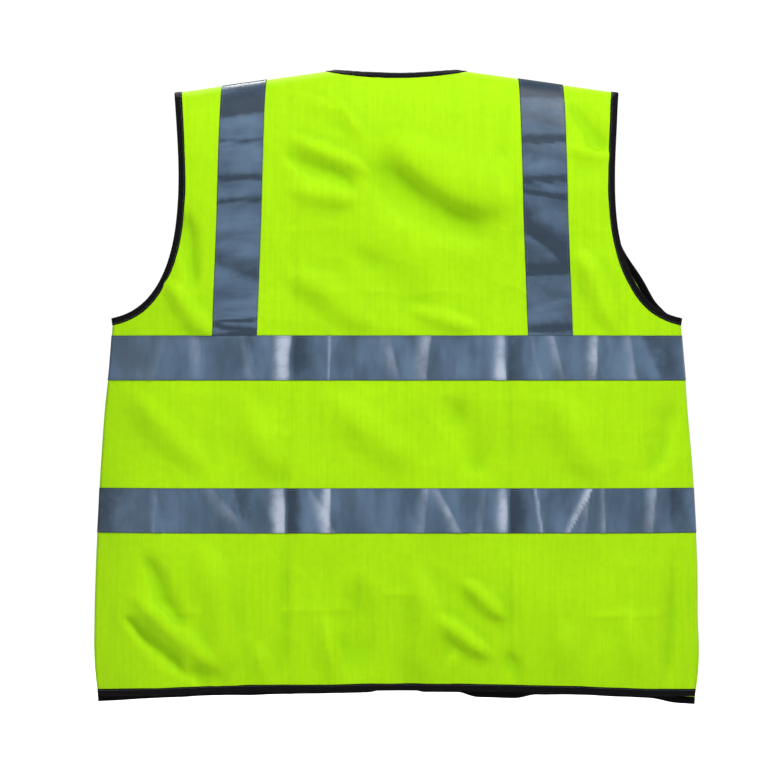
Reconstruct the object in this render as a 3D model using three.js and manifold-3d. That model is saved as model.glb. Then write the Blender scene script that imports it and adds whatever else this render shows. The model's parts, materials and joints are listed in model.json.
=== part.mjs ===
// A sleeveless high visibility vest, held up by the shoulders as it is worn, with its front unfastened.
//
// The vest is two layers of knitted fabric, a back and a front, over one shallow body form. They meet at the
// shoulder fold and at the side seams. The back faces -Y and the front faces +Y. Reflective tape is sewn on
// as two level bands and two braces that run over the shoulders, and black binding wraps every cut edge.
// Each front folds open along a slanting line from its neckline to the hem, so each of its pieces that
// crosses that line is made in two parts: one on the side of the vest and one on the flap.
//
// Units are millimetres. The origin is level with the neck points, midway between them. Heights are given
// as drops below it, as a garment maker measures them. The wearer's left is -X.

import * as THREE from "three";
import { mergeVertices } from "three/addons/utils/BufferGeometryUtils.js";
import Module from "manifold-3d";

const wasm = await Module();
wasm.setup();

// Outline of the garment
const vestLength = 697; // neck point to the hem's corners
const hemRise = 8; // the hem's middle above its corners
const neckHalf = 78;
const backNeckDrop = 7;
const frontNeckDrop = 230;
const shoulderHalf = 247;
const shoulderDrop = 24; // the shoulder's tip below the neck point
const armholeDrop = 276;
const armholeInset = 5; // the armhole's inmost point from the shoulder's tip
const acrossHalf = shoulderHalf - armholeInset;
const acrossDrop = 130;
const chestHalf = 316; // side seam, at the armhole
const hipFlare = 21; // from there to the side seam's widest
const hipHalf = chestHalf + hipFlare;
const hipDrop = 633;
const hemTuck = 4; // and in again to the hem
const hemHalf = hipHalf - hemTuck;
const frontGap = 12; // between the two unfastened front edges
const cornerRadius = 25; // the fronts' rounded corners

// Body form that both layers lie on
const halfDepth = 40; // from the side seams' plane to the middle of the back
const shoulderRound = 150; // drop over which the shoulder fold opens to the full depth
const flatShare = 0.65; // share of the width that stays flat in the middle
const foldFlat = 1; // half width of the level strip along the shoulder fold

// Thicknesses, and the air between pieces that are sewn together
const fabricThick = 1;
const tapeThick = 0.5;
const bindingThick = 0.5;
const patchThick = 1;
const labelThick = 0.6;
const seamThick = 1.2;
const clearance = 0.3;

// Trims
const tapeWidth = 50;
const chestBandDrop = 320; // to the band's middle
const waistBandDrop = 490;
const braceInset = 82; // from the shoulder's tip to the brace's middle line
const braceTop = shoulderHalf - braceInset;
const braceSplay = 11; // the brace's foot further out than its top
const braceTuck = 40; // brace's end below the chest band's upper edge
const bindingWidth = 8;
const seamAllowance = 7;
const seamInset = 2.5; // between a side seam and its turned-in allowance
const shoulderSeamDrop = 1; // between the shoulder fold and its allowance
const patchWidth = 20;
const patchHeight = 40;
const patchInset = 3; // between a patch and the binding of the front edge
const patchDrops = [262, 405, 587]; // to each patch's middle
const labelWidth = 40;
const labelLength = 60;
const labelGap = 2; // between the neck binding and the label

// Line that each front folds open along
const foldTopDrop = 137; // where it leaves the neckline
const foldHem = 215; // where it meets the hem, from the vest's middle

const reach = 1000; // past every part of the vest
const above = 10; // past the shoulder fold, for outlines that run over it
const joinOverlap = 0.2; // by which the two sides of one piece overlap at the shoulder fold

const material = (color, roughness, metalness = 0) => new THREE.MeshStandardMaterial({ color, roughness, metalness });
const fabric = material(0xb4ee12, 0.85);
const reflective = material(0x6f7c8f, 0.35, 0.4);
const bindingTape = material(0x0b0b0c, 0.7);
const hook = material(0x9fd01a, 0.8);
const loop = material(0xa6d822, 0.95);
const thread = material(0xa9dc1c, 0.8);
const labelCloth = material(0xf2f2ee, 0.6);

// ---- Body form

// Height of the shoulder fold. It is level across the neck.
function shoulderFold(x) {
  const past = Math.max(0, Math.abs(x) - neckHalf) / (shoulderHalf - neckHalf);
  return -shoulderDrop * past;
}

// Half width between the side seams, which curve out to the hip and in again to the hem.
function sideHalf(z) {
  if (z > -armholeDrop) return chestHalf;
  if (z > -hipDrop) {
    const down = (-armholeDrop - z) / (hipDrop - armholeDrop);
    return chestHalf + (hipHalf - chestHalf) * Math.sin((down * Math.PI) / 2);
  }
  return hipHalf - (hipHalf - hemHalf) * ((-hipDrop - z) / (vestLength - hipDrop)) ** 2;
}

// Share of the full depth at a place: 1 over the flat middle and 0 at the side seams.
function fullness(x, z) {
  const out = Math.max(0, Math.abs(x) / sideHalf(z) - flatShare) / (1 - flatShare);
  return 1 - out ** 2;
}

// The form's grid. Columns are shares of the half width, with one at each neck point. Rows run over the level
// strip along the shoulder fold, then round the fold, down to the armhole and down past the hem.
const curvedColumns = 5;
const shares = [neckHalf / chestHalf];
for (let i = 0; i <= curvedColumns; i++) shares.push(flatShare + ((1 - flatShare) * i) / curvedColumns);
const columns = [...shares.map((share) => -share).reverse(), 0, ...shares];

const foldRows = 5;
const yokeRows = 2;
const bodyRows = 8;
const rows = [{ turn: 0, height: shoulderFold }];
for (let i = 0; i <= foldRows; i++) {
  const turn = ((i / foldRows) * Math.PI) / 2;
  rows.push({ turn, height: (x) => shoulderFold(x) - shoulderRound * (1 - Math.cos(turn)) });
}
for (let i = 1; i <= yokeRows; i++) {
  const down = i / yokeRows;
  rows.push({
    turn: Math.PI / 2,
    height: (x) => (shoulderFold(x) - shoulderRound) * (1 - down) - armholeDrop * down,
  });
}
for (let i = 1; i <= bodyRows; i++) {
  const height = -armholeDrop - ((vestLength + 3 * above - armholeDrop) * i) / bodyRows;
  rows.push({ turn: Math.PI / 2, height: () => height });
}

// Distance of the form from the plane of its side seams, part of the way round the shoulder fold.
function awayFromFold(turn, depth) {
  return clearance / 2 + foldFlat * Math.cos(turn) + depth * Math.sin(turn);
}

// A point of the form on the front (face 1) or the back (face -1), raised from its surface by `proud`.
// A piece that runs over the shoulder is `joined`: its first row passes the fold a little.
function formPoint(column, row, face, proud, joined) {
  const { turn, height } = rows[row];
  const z = height(columns[column] * chestHalf);
  const x = columns[column] * sideHalf(z);
  const depth = halfDepth * fullness(x, z);
  const level = turn > Math.PI / 2 - 1e-6;
  const step = 0.5;
  const slopeX = (halfDepth * (fullness(x + step, z) - fullness(x - step, z))) / (2 * step);
  const slopeZ = level ? (halfDepth * (fullness(x, z + step) - fullness(x, z - step))) / (2 * step) : 0;
  const foldSlope = (shoulderFold(x + step) - shoulderFold(x - step)) / (2 * step);
  const normal = new THREE.Vector3(
    -slopeX * shoulderRound * Math.sin(turn) ** 2 - foldSlope * depth * Math.cos(turn),
    face * (shoulderRound * Math.sin(turn) + 1e-6),
    depth * Math.cos(turn) - slopeZ * shoulderRound + 1e-6,
  );
  if (turn === 0) normal.y = 0;
  const ridge = joined ? -joinOverlap : clearance / 2;
  const away = row === 0 ? ridge : awayFromFold(turn, depth);
  const place = new THREE.Vector3(x, face * away, z);
  return place.addScaledVector(normal.normalize(), proud);
}

// ---- Solids

function solidOf(geometry) {
  const bare = geometry.index ? geometry.toNonIndexed() : geometry.clone();
  bare.deleteAttribute("normal");
  bare.deleteAttribute("uv");
  const merged = mergeVertices(bare, 1e-4);
  const vertProperties = merged.getAttribute("position").array;
  const triVerts = new Uint32Array(merged.index.array);
  return new wasm.Manifold(new wasm.Mesh({ numProp: 3, vertProperties, triVerts }));
}

function geometryOf(solid) {
  const { vertProperties, triVerts } = solid.getMesh();
  const geometry = new THREE.BufferGeometry();
  geometry.setAttribute("position", new THREE.BufferAttribute(vertProperties, 3));
  geometry.setIndex(new THREE.BufferAttribute(triVerts, 1));
  geometry.computeVertexNormals();
  return geometry;
}

// An uncut sheet of cloth over one face of the form, between two heights above its surface. Its diagonals
// mirror each other about the vest's middle, so a left piece lies on the sheets as its right twin does.
function sheet(face, inner, outer, joined = false) {
  const across = columns.length;
  const layer = across * rows.length;
  const layerPoints = (proud) =>
    rows.flatMap((_, row) => columns.flatMap((_, column) => [...formPoint(column, row, face, proud, joined)]));
  const index = [];
  const quad = (a, b, c, d) => index.push(...(face > 0 ? [a, b, c, a, c, d] : [a, c, b, a, d, c]));
  for (let row = 0; row < rows.length - 1; row++) {
    for (let column = 0; column < across - 1; column++) {
      const a = row * across + column;
      const corners = [a, a + 1, a + across + 1, a + across];
      if (columns[column] < 0) corners.push(corners.shift());
      const [first, ...rest] = corners;
      quad(...corners.map((corner) => corner + layer));
      quad(first, ...rest.reverse());
    }
  }
  const last = across - 1;
  const foot = layer - across;
  const rim = [];
  for (let column = 0; column < last; column++) rim.push(column);
  for (let row = 0; row < rows.length - 1; row++) rim.push(row * across + last);
  for (let column = last; column > 0; column--) rim.push(foot + column);
  for (let row = rows.length - 1; row > 0; row--) rim.push(row * across);
  rim.forEach((p, i) => {
    const q = rim[(i + 1) % rim.length];
    quad(q + layer, p + layer, p, q);
  });
  const cloth = new THREE.BufferGeometry();
  const places = new Float32Array([...layerPoints(inner), ...layerPoints(outer)]);
  cloth.setAttribute("position", new THREE.BufferAttribute(places, 3));
  cloth.setIndex(index);
  return solidOf(cloth);
}

// A prism through the whole depth of the vest, from an outline in the XZ plane.
function prism(outline, depth = reach) {
  const block = new THREE.ExtrudeGeometry(new THREE.Shape(outline), { depth, bevelEnabled: false });
  block.translate(0, 0, -depth / 2);
  block.rotateX(Math.PI / 2);
  return solidOf(block);
}

const at = (x, z) => new THREE.Vector2(x, z);
const rectangle = (x0, x1, z0, z1) => [at(x0, z0), at(x1, z0), at(x1, z1), at(x0, z1)];
const mirrored = (outline) => outline.map((p) => at(-p.x, p.y)).reverse();

// A line moved to its left by `distance`, with mitred corners.
function offsetLine(line, distance) {
  const left = (a, b) => at(a.y - b.y, b.x - a.x).normalize();
  return line.map((p, i) => {
    const before = left(line[Math.max(i - 1, 0)], line[Math.max(i, 1)]);
    const last = line.length - 1;
    const after = left(line[Math.min(i, last - 1)], line[Math.min(i + 1, last)]);
    const mitre = before.clone().add(after).normalize();
    return p.clone().addScaledVector(mitre, distance / mitre.dot(after));
  });
}

// Outline of the strip beside an edge that has cloth on its left, from `outset` outside it to `inset` inside.
function strip(edge, outset, inset) {
  return [...offsetLine(edge, -outset), ...offsetLine(edge, inset).reverse()];
}

// ---- Edges of the cloth. Each has the cloth on its left.

// Right armhole, from past the side seam up and over the shoulder.
function armholeEdge() {
  const curve = new THREE.Path();
  const underarm = armholeInset * 4; // reach of the curve's handles beyond the inmost point
  curve.moveTo(chestHalf, -armholeDrop);
  curve.bezierCurveTo(
    acrossHalf + underarm, -armholeDrop + underarm / 2,
    acrossHalf, -(acrossDrop + armholeDrop) / 2,
    acrossHalf, -acrossDrop,
  );
  curve.quadraticCurveTo(acrossHalf, -(acrossDrop + shoulderDrop) / 2, shoulderHalf, -shoulderDrop);
  return [at(chestHalf + above, -armholeDrop - 1), ...curve.getPoints(9), at(shoulderHalf, above)];
}

// Back neckline, a shallow scoop from the right neck point to the left one, with its ends over the shoulder.
function backNeckEdge() {
  const curve = new THREE.Path();
  curve.moveTo(neckHalf, 0);
  curve.quadraticCurveTo(0, -2 * backNeckDrop, -neckHalf, 0);
  return [at(neckHalf, above), ...curve.getPoints(12), at(-neckHalf, above)];
}

const hemHeight = (x) => -vestLength + hemRise * (1 - (x / hemHalf) ** 2);

// Hem, from one x to another.
function hemEdge(from, to, steps = 12) {
  return Array.from({ length: steps + 1 }, (_, i) => {
    const x = from + ((to - from) * i) / steps;
    return at(x, hemHeight(x));
  });
}

// The right front's edge: down the neckline, down the opening, round the corner and out along the hem.
function frontEdge() {
  const edgeX = frontGap / 2;
  const curve = new THREE.Path();
  const slope = (neckHalf - edgeX) / frontNeckDrop;
  curve.moveTo(neckHalf, 0);
  curve.lineTo(edgeX + slope * cornerRadius, -frontNeckDrop + cornerRadius);
  curve.quadraticCurveTo(edgeX, -frontNeckDrop, edgeX, -frontNeckDrop - cornerRadius);
  curve.lineTo(edgeX, hemHeight(edgeX) + cornerRadius);
  curve.quadraticCurveTo(edgeX, hemHeight(edgeX), edgeX + cornerRadius, hemHeight(edgeX + cornerRadius));
  return [at(neckHalf, above), ...curve.getPoints(5), ...hemEdge(edgeX + cornerRadius, reach / 2, 16).slice(1)];
}

// Point where the fold leaves the right neckline, and where it meets the hem.
const foldTop = at(neckHalf - ((neckHalf - frontGap / 2) * foldTopDrop) / frontNeckDrop, -foldTopDrop);
const foldFoot = at(foldHem, hemHeight(foldHem));

// Everything on the flap's side of the right fold line, or on the other side of it.
function besideFold(flap) {
  const along = foldFoot.clone().sub(foldTop).normalize();
  const line = [foldTop.clone().addScaledVector(along, -reach), foldFoot.clone().addScaledVector(along, reach)];
  const out = flap ? -1 : 1;
  const near = offsetLine(line, out * clearance);
  const far = offsetLine(line, out * reach);
  return prism(flap ? [...near, ...far.reverse()] : [...far, ...near.reverse()]);
}

const rightHalf = prism(rectangle(0, reach, -reach, reach));
const flapSide = besideFold(true).intersect(rightHalf);
const bodySide = besideFold(false);

// ---- Cloth panels

function backPanel() {
  const armhole = armholeEdge();
  const outline = [
    ...hemEdge(-reach / 2, reach / 2, 36),
    at(reach / 2, -armholeDrop - 1),
    ...armhole,
    ...backNeckEdge(),
    ...mirrored(armhole),
    at(-reach / 2, -armholeDrop - 1),
  ];
  return sheet(-1, 0, fabricThick).intersect(prism(outline));
}

function frontPanel() {
  const outline = [...frontEdge(), at(reach / 2, -armholeDrop - 1), ...armholeEdge()];
  return sheet(1, 0, fabricThick).intersect(prism(outline));
}

// ---- Reflective tape

const onFabric = fabricThick + clearance;
const overBrace = onFabric + tapeThick + clearance;

const bandOutline = (from, to, drop) => rectangle(from, to, -drop - tapeWidth / 2, -drop + tapeWidth / 2);

function band(face, from, to, drop, proud) {
  return sheet(face, proud, proud + tapeThick).intersect(prism(bandOutline(from, to, drop)));
}

// The right brace, one length of tape from under the front chest band over the shoulder to under the back one.
function brace() {
  const foot = -(chestBandDrop - tapeWidth / 2) - braceTuck;
  const middle = [at(braceTop, above), at(braceTop, 0), at(braceTop + braceSplay, foot)];
  const outline = prism(strip(middle, tapeWidth / 2, tapeWidth / 2));
  const side = (face) => sheet(face, onFabric, onFabric + tapeThick, true).intersect(outline);
  return side(1).add(side(-1));
}

// A front band, which starts beside the binding of the front edge.
function frontBand(drop, proud) {
  return band(1, frontGap / 2 + bindingWidth + clearance, reach, drop, proud);
}

// ---- Binding, a tape folded round the edge of the cloth

// Parts name a face, an edge and, if it is cut short, the space that it is kept to.
function bindingAlong(parts) {
  const lip = clearance + bindingThick;
  const wrap = parts.map(({ face, edge, within }) => {
    const whole = sheet(face, -lip, fabricThick + lip, true).intersect(prism(strip(edge, lip, bindingWidth)));
    return within ? whole.intersect(within) : whole;
  });
  const slot = parts.map(({ face, edge }) =>
    sheet(face, -clearance, fabricThick + clearance, true).intersect(
      prism(strip(edge, clearance, bindingWidth + 1)),
    ),
  );
  const joined = (solids) => solids.reduce((whole, solid) => whole.add(solid));
  return joined(wrap).subtract(joined(slot));
}

const leftOf = (solid) => {
  const flipped = geometryOf(solid);
  flipped.scale(-1, 1, 1);
  const order = flipped.index.array;
  for (let i = 0; i < order.length; i += 3) [order[i], order[i + 1]] = [order[i + 1], order[i]];
  return solidOf(flipped);
};

function neckBinding() {
  const upper = prism(rectangle(-reach, reach, -foldTopDrop - frontNeckDrop / 4, reach));
  const keep = bodySide.intersect(rightHalf).intersect(upper);
  return bindingAlong([
    { face: -1, edge: backNeckEdge() },
    { face: 1, edge: frontEdge(), within: keep },
    { face: 1, edge: mirrored(frontEdge()), within: leftOf(keep) },
  ]);
}

function hemBinding() {
  const keep = bodySide.intersect(rightHalf);
  const hem = hemEdge(-reach / 2, reach / 2, 36);
  return bindingAlong([
    { face: -1, edge: hem },
    { face: 1, edge: hem, within: keep.add(leftOf(keep)) },
  ]);
}

function armholeBinding() {
  const edge = armholeEdge();
  return bindingAlong([
    { face: -1, edge },
    { face: 1, edge },
  ]);
}

const flapBinding = () => bindingAlong([{ face: 1, edge: frontEdge(), within: flapSide }]);

// ---- Seam allowances, turned in along the side and shoulder seams

function sideSeam() {
  const top = armholeDrop + bindingWidth + 3;
  const foot = vestLength - bindingWidth - 2;
  const steps = 10;
  const line = Array.from({ length: steps + 1 }, (_, i) => {
    const z = -foot + ((foot - top) * i) / steps;
    return at(sideHalf(z) - seamInset, z);
  });
  return prism(strip(line, 0, seamAllowance), seamThick);
}

function shoulderSeam() {
  const margin = bindingWidth + 1;
  const ends = [shoulderHalf - margin, neckHalf + margin];
  const line = ends.map((x) => at(x, shoulderFold(x) - shoulderSeamDrop));
  return prism(strip(line, 0, seamAllowance), seamThick);
}

// ---- Hook and loop patches, and the care label

function patch(drop, inner) {
  const start = frontGap / 2 + bindingWidth + patchInset;
  const outline = rectangle(start, start + patchWidth, -drop - patchHeight / 2, -drop + patchHeight / 2);
  return sheet(1, inner, inner + patchThick).intersect(prism(outline));
}

// Depth of the back's inner surface in the middle of the vest, along the straight facets of its shoulder rows.
function backDepth(drop) {
  const foot = rows.findIndex(({ height }) => -height(0) > drop);
  const [from, to] = [rows[foot - 1], rows[foot]];
  const share = (drop + from.height(0)) / (from.height(0) - to.height(0));
  return awayFromFold(from.turn, halfDepth) * (1 - share) + awayFromFold(to.turn, halfDepth) * share;
}

function label() {
  const top = backNeckDrop + bindingWidth + labelGap;
  const cloth = new THREE.BoxGeometry(labelWidth, labelThick, labelLength);
  cloth.translate(0, -backDepth(top) + clearance + labelThick / 2, -top - labelLength / 2);
  return solidOf(cloth);
}

// ---- Assembly

const vest = new THREE.Group();
vest.name = "high_visibility_vest";

function add(name, solid, finish) {
  const mesh = new THREE.Mesh(geometryOf(solid), finish);
  mesh.name = name;
  vest.add(mesh);
  return mesh;
}

// The same piece on both sides of the vest. The left one is the right one's mirror image.
function addPair(name, solid, finish) {
  add(`right_${name}`, solid, finish);
  add(`left_${name}`, solid, finish).scale.x = -1;
}

const front = frontPanel();
add("back_panel", backPanel(), fabric);
addPair("front_panel", front.intersect(bodySide), fabric);
addPair("flap_panel", front.intersect(flapSide), fabric);

add("back_chest_band", band(-1, -reach, reach, chestBandDrop, overBrace), reflective);
add("back_waist_band", band(-1, -reach, reach, waistBandDrop, onFabric), reflective);
addPair("shoulder_brace", brace(), reflective);
addPair("front_chest_band", frontBand(chestBandDrop, overBrace).intersect(bodySide), reflective);
addPair("front_waist_band", frontBand(waistBandDrop, onFabric).intersect(bodySide), reflective);
addPair("flap_chest_band", frontBand(chestBandDrop, onFabric).intersect(flapSide), reflective);
addPair("flap_waist_band", frontBand(waistBandDrop, onFabric).intersect(flapSide), reflective);

add("neck_binding", neckBinding(), bindingTape);
add("hem_binding", hemBinding(), bindingTape);
addPair("armhole_binding", armholeBinding(), bindingTape);
addPair("flap_binding", flapBinding(), bindingTape);

addPair("side_seam", sideSeam(), thread);
addPair("shoulder_seam", shoulderSeam(), thread);

const placeNames = ["top", "middle", "bottom"];
patchDrops.forEach((drop, i) => {
  add(`left_hook_patch_${placeNames[i]}`, patch(drop, -clearance - patchThick), hook).scale.x = -1;
  add(`right_loop_patch_${placeNames[i]}`, patch(drop, onFabric), loop);
});
add("care_label", label(), labelCloth);

export default vest;
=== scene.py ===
import json
import math

import bpy
import numpy as np
from bpy.props import FloatProperty, FloatVectorProperty, PointerProperty
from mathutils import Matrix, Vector

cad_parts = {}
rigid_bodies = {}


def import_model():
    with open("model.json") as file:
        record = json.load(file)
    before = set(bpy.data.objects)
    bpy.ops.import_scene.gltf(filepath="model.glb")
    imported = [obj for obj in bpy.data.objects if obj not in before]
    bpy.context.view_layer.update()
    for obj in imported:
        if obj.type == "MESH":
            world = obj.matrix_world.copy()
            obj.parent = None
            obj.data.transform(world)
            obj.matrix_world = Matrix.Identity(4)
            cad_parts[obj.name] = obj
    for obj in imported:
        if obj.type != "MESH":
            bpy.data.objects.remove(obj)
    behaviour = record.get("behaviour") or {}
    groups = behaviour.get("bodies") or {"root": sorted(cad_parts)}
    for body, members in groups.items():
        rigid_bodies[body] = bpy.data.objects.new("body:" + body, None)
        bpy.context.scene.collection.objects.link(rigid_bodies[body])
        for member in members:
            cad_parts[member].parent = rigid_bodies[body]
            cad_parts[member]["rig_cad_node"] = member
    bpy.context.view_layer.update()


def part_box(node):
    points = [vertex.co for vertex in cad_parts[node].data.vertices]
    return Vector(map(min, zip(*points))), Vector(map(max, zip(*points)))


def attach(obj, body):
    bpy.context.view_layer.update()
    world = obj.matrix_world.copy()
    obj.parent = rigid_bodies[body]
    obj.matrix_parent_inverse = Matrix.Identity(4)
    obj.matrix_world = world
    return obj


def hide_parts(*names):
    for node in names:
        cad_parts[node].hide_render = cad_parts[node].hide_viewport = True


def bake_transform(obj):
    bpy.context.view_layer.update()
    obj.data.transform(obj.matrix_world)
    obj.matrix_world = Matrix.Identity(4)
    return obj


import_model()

bl_info = {
    "name": "High visibility vest",
    "version": (1, 0, 0),
    "blender": (4, 5, 0),
    "location": "View3D > Sidebar > Vest",
    "description": "Makes the cloth, tape, binding and stitching of a high visibility vest",
    "category": "Object",
}

MM = 0.001
FRONT = 1
BACK = -1
RIGHT = 1
LEFT = -1
SIDES = {"right": RIGHT, "left": LEFT}

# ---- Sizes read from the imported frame, in metres

HALF_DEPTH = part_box("right_flap_panel")[1][1] - 1 * MM
LENGTH = -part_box("back_panel")[0][2]
HIP_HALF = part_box("back_panel")[1][0]
EDGE_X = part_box("right_flap_panel")[0][0]
CHEST_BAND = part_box("back_chest_band")
WAIST_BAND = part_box("back_waist_band")
SHOULDER_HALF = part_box("right_shoulder_seam")[1][0] + 9 * MM

# ---- Cut of the vest, in metres

NECK_HALF = 78 * MM
BACK_NECK_DROP = 7 * MM
FRONT_NECK_DROP = 230 * MM
SHOULDER_DROP = 24 * MM
ARMHOLE_DROP = 276 * MM
ACROSS_HALF = SHOULDER_HALF - 5 * MM
ACROSS_DROP = 130 * MM
CHEST_HALF = HIP_HALF - 21 * MM
HIP_DROP = 633 * MM
HEM_HALF = HIP_HALF - 4 * MM
HEM_RISE = 8 * MM
CORNER_RADIUS = 25 * MM
SHOULDER_ROUND = 150 * MM  # drop over which the shoulder fold opens to the full depth
ROUND_RUN = 162 * MM  # length of cloth over that drop
FLAT_SHARE = 0.65  # share of the width that stays flat in the middle
BRACE_TOP = SHOULDER_HALF - 82 * MM
BRACE_SPLAY = 11 * MM
BRACE_SHIFT = -4.5 * MM  # both braces are sewn a little to the left
SLIT_DROP = 236 * MM  # where the right front's armhole edge stands out furthest
SLIT_PROUD = 13 * MM
SWEEP_DROP = 279 * MM  # where the armhole has swept out to the side seam

# ---- Sewing, in metres

STITCH_INSET = 2.4 * MM  # from a tape's edge to its stitches
STITCH_LIFT = 0.1 * MM  # thread's middle above the tape
TAPE_TUCK = 9 * MM  # brace's end under a chest band
CAUGHT = 4.5 * MM  # end of a front band caught under the binding
BINDING_PITCH = 2.5 * MM
NECK_JOIN = 104 * MM  # run along a front edge at which its own binding takes over from the neck's


# ---- Small helpers on arrays

def smooth(value):
    """Eases from 0 to 1."""
    value = np.clip(value, 0, 1)
    return value * value * (3 - 2 * value)


LATTICES = {}


def lattice(x, z, size, seed):
    """Smooth noise from -1 to 1 over cells of the given size."""
    if seed not in LATTICES:
        LATTICES[seed] = np.random.RandomState(seed).rand(64, 64) * 2 - 1
    table = LATTICES[seed]
    u, v = x / size + 1000.0, z / size + 1000.0
    i, j = np.floor(u).astype(int), np.floor(v).astype(int)
    a, b = smooth(u - i), smooth(v - j)
    i0, i1, j0, j1 = i % 64, (i + 1) % 64, j % 64, (j + 1) % 64
    upper = table[i0, j0] * (1 - a) + table[i1, j0] * a
    lower = table[i0, j1] * (1 - a) + table[i1, j1] * a
    return upper * (1 - b) + lower * b


def along_line(x, z, ends, taper):
    """Where a place lies beside the line between two others: the distance away, the share of the way along,
    and a factor that dies out at both ends."""
    x0, z0, x1, z1 = (value * MM for value in ends)
    along_x, along_z = x1 - x0, z1 - z0
    length = math.hypot(along_x, along_z)
    share = ((x - x0) * along_x + (z - z0) * along_z) / length**2
    away = ((x - x0) * along_z - (z - z0) * along_x) / length
    return away, share, smooth(share / taper) * smooth((1 - share) / taper)


def folds_at(x, z, folds):
    """Soft folds, each broadest half way along and wandering off its line."""
    wander = 5 * MM * lattice(x, z, 55 * MM, 41)
    total = 0 * wander
    for ends, width, height in folds:
        away, share, reach = along_line(x, z, ends, 0.3)
        breadth = width * MM * (0.5 + 0.5 * np.sin(math.pi * np.clip(share, 0, 1)))
        total = total + height * MM * np.exp(-(((away + wander) / breadth) ** 2)) * reach
    return FOLD_GAIN * total * (1 + 0.3 * lattice(x, z, 38 * MM, 43))


def crease_near(x, z, ends, width):
    """A pressed crease: 1 on its line, falling away sharply."""
    away, _, reach = along_line(x, z, ends, 0.06)
    away = away + 0.8 * MM * lattice(x, z, 30 * MM, 45)
    return np.exp(-np.hypot(away, 0.8 * MM) / (width * MM)) * reach


def creases_at(x, z, creases):
    """Heights of all the pressed creases together."""
    return MM * sum(height * crease_near(x, z, ends, width) for ends, width, height in creases)


# ---- Body form and outline

def shoulder_fold(x):
    """Height of the shoulder fold."""
    return -SHOULDER_DROP * np.clip((np.abs(x) - NECK_HALF) / (SHOULDER_HALF - NECK_HALF), 0, None)


def side_half(z):
    """Half width between the side seams."""
    down = np.clip((-ARMHOLE_DROP - z) / (HIP_DROP - ARMHOLE_DROP), 0, 1)
    hip = CHEST_HALF + (HIP_HALF - CHEST_HALF) * np.sin(down * math.pi / 2)
    below = np.clip((-HIP_DROP - z) / (LENGTH - HIP_DROP), 0, None)
    return hip - (HIP_HALF - HEM_HALF) * below**2


def armhole_curve():
    """The right armhole edge as heights, rising, and half widths."""
    underarm = 4 * (SHOULDER_HALF - ACROSS_HALF)
    knots = [
        (CHEST_HALF, -ARMHOLE_DROP),
        (ACROSS_HALF + underarm, -ARMHOLE_DROP + underarm / 2),
        (ACROSS_HALF, -(ACROSS_DROP + ARMHOLE_DROP) / 2),
        (ACROSS_HALF, -ACROSS_DROP),
    ]
    t = np.linspace(0, 1, 60)
    weights = [(1 - t) ** 3, 3 * t * (1 - t) ** 2, 3 * t * t * (1 - t), t**3]
    x = sum(w * k[0] for w, k in zip(weights, knots))
    z = sum(w * k[1] for w, k in zip(weights, knots))
    t = np.linspace(0, 1, 20)[1:]
    top = ACROSS_HALF * (1 - t * t) + SHOULDER_HALF * t * t
    return np.append(z, -ACROSS_DROP + t * (ACROSS_DROP - SHOULDER_DROP)), np.append(x, top)


ARMHOLE_Z, ARMHOLE_X = armhole_curve()


def outline_half(z, hand, face):
    """Half width of the cut cloth, on the right or the left, with the slight waver of a sewn edge."""
    half = np.where(z > -ARMHOLE_DROP, np.interp(z, ARMHOLE_Z, ARMHOLE_X), side_half(z))
    waver = 1.1 * MM * lattice(z, z * 0 + hand * 0.3, 55 * MM, 5)
    slack = np.exp(-(((z + SLIT_DROP) / (34 * MM)) ** 2)) * smooth((z + ARMHOLE_DROP) / (12 * MM))
    proud = SLIT_PROUD * slack * (hand == RIGHT) * (face == FRONT)
    return half + waver * smooth((-z - 30 * MM) / (40 * MM)) + proud


def hem_height(x, face):
    """Height of the hem. The front's droops a little in two places."""
    hem = -LENGTH + HEM_RISE * (1 - (x / HEM_HALF) ** 2)
    waver = 1.0 * MM * lattice(x, x * 0 + face * 0.2, 70 * MM, 8)
    middle = 5.0 * MM * smooth((x - 70 * MM) / (22 * MM)) * smooth((158 * MM - x) / (26 * MM))
    corner = 3.2 * MM * smooth((x - 285 * MM) / (30 * MM))
    return hem + waver - (face == FRONT) * (middle + corner)


def drop_at(x, z):
    """Drop below the shoulder fold, from a height."""
    fold = shoulder_fold(x)
    fade = ARMHOLE_DROP - SHOULDER_ROUND
    upper = fold - z
    middle = (-z + fold * ARMHOLE_DROP / fade) / (1 + fold / fade)
    drop = np.where(upper > SHOULDER_ROUND, middle, upper)
    return np.maximum(np.where(-z > ARMHOLE_DROP, -z, drop), 0)


def run_at(x, z):
    """Length of cloth from the shoulder fold down to a height."""
    drop = drop_at(x, z)
    turn = np.arccos(np.clip(1 - drop / SHOULDER_ROUND, 0, 1))
    round_part = turn * ROUND_RUN / (math.pi / 2)
    return np.where(drop < SHOULDER_ROUND, round_part, ROUND_RUN + drop - SHOULDER_ROUND)


def on_form(x, run, face):
    """Places on the smooth form, the way they face, and which layer they are on. A run below 0 passes over
    the fold."""
    layer = np.where(run < 0, -face, face)
    run = np.abs(run)
    turn = np.minimum(run / ROUND_RUN, 1) * math.pi / 2
    past = np.maximum(run - ROUND_RUN, 0)
    drop = SHOULDER_ROUND * (1 - np.cos(turn)) + past
    level = np.clip((ARMHOLE_DROP - drop) / (ARMHOLE_DROP - SHOULDER_ROUND), 0, 1)
    z = -drop + shoulder_fold(x) * level
    out = np.clip(np.abs(x) / side_half(z) - FLAT_SHARE, 0, None) / (1 - FLAT_SHARE)
    depth = HALF_DEPTH * (1 - out**2)
    place = np.stack([x + 0 * z, layer * depth * np.sin(turn), z], -1)
    way = np.stack([0 * z, layer * np.sin(turn), np.cos(turn)], -1)
    return place, way, layer


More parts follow.
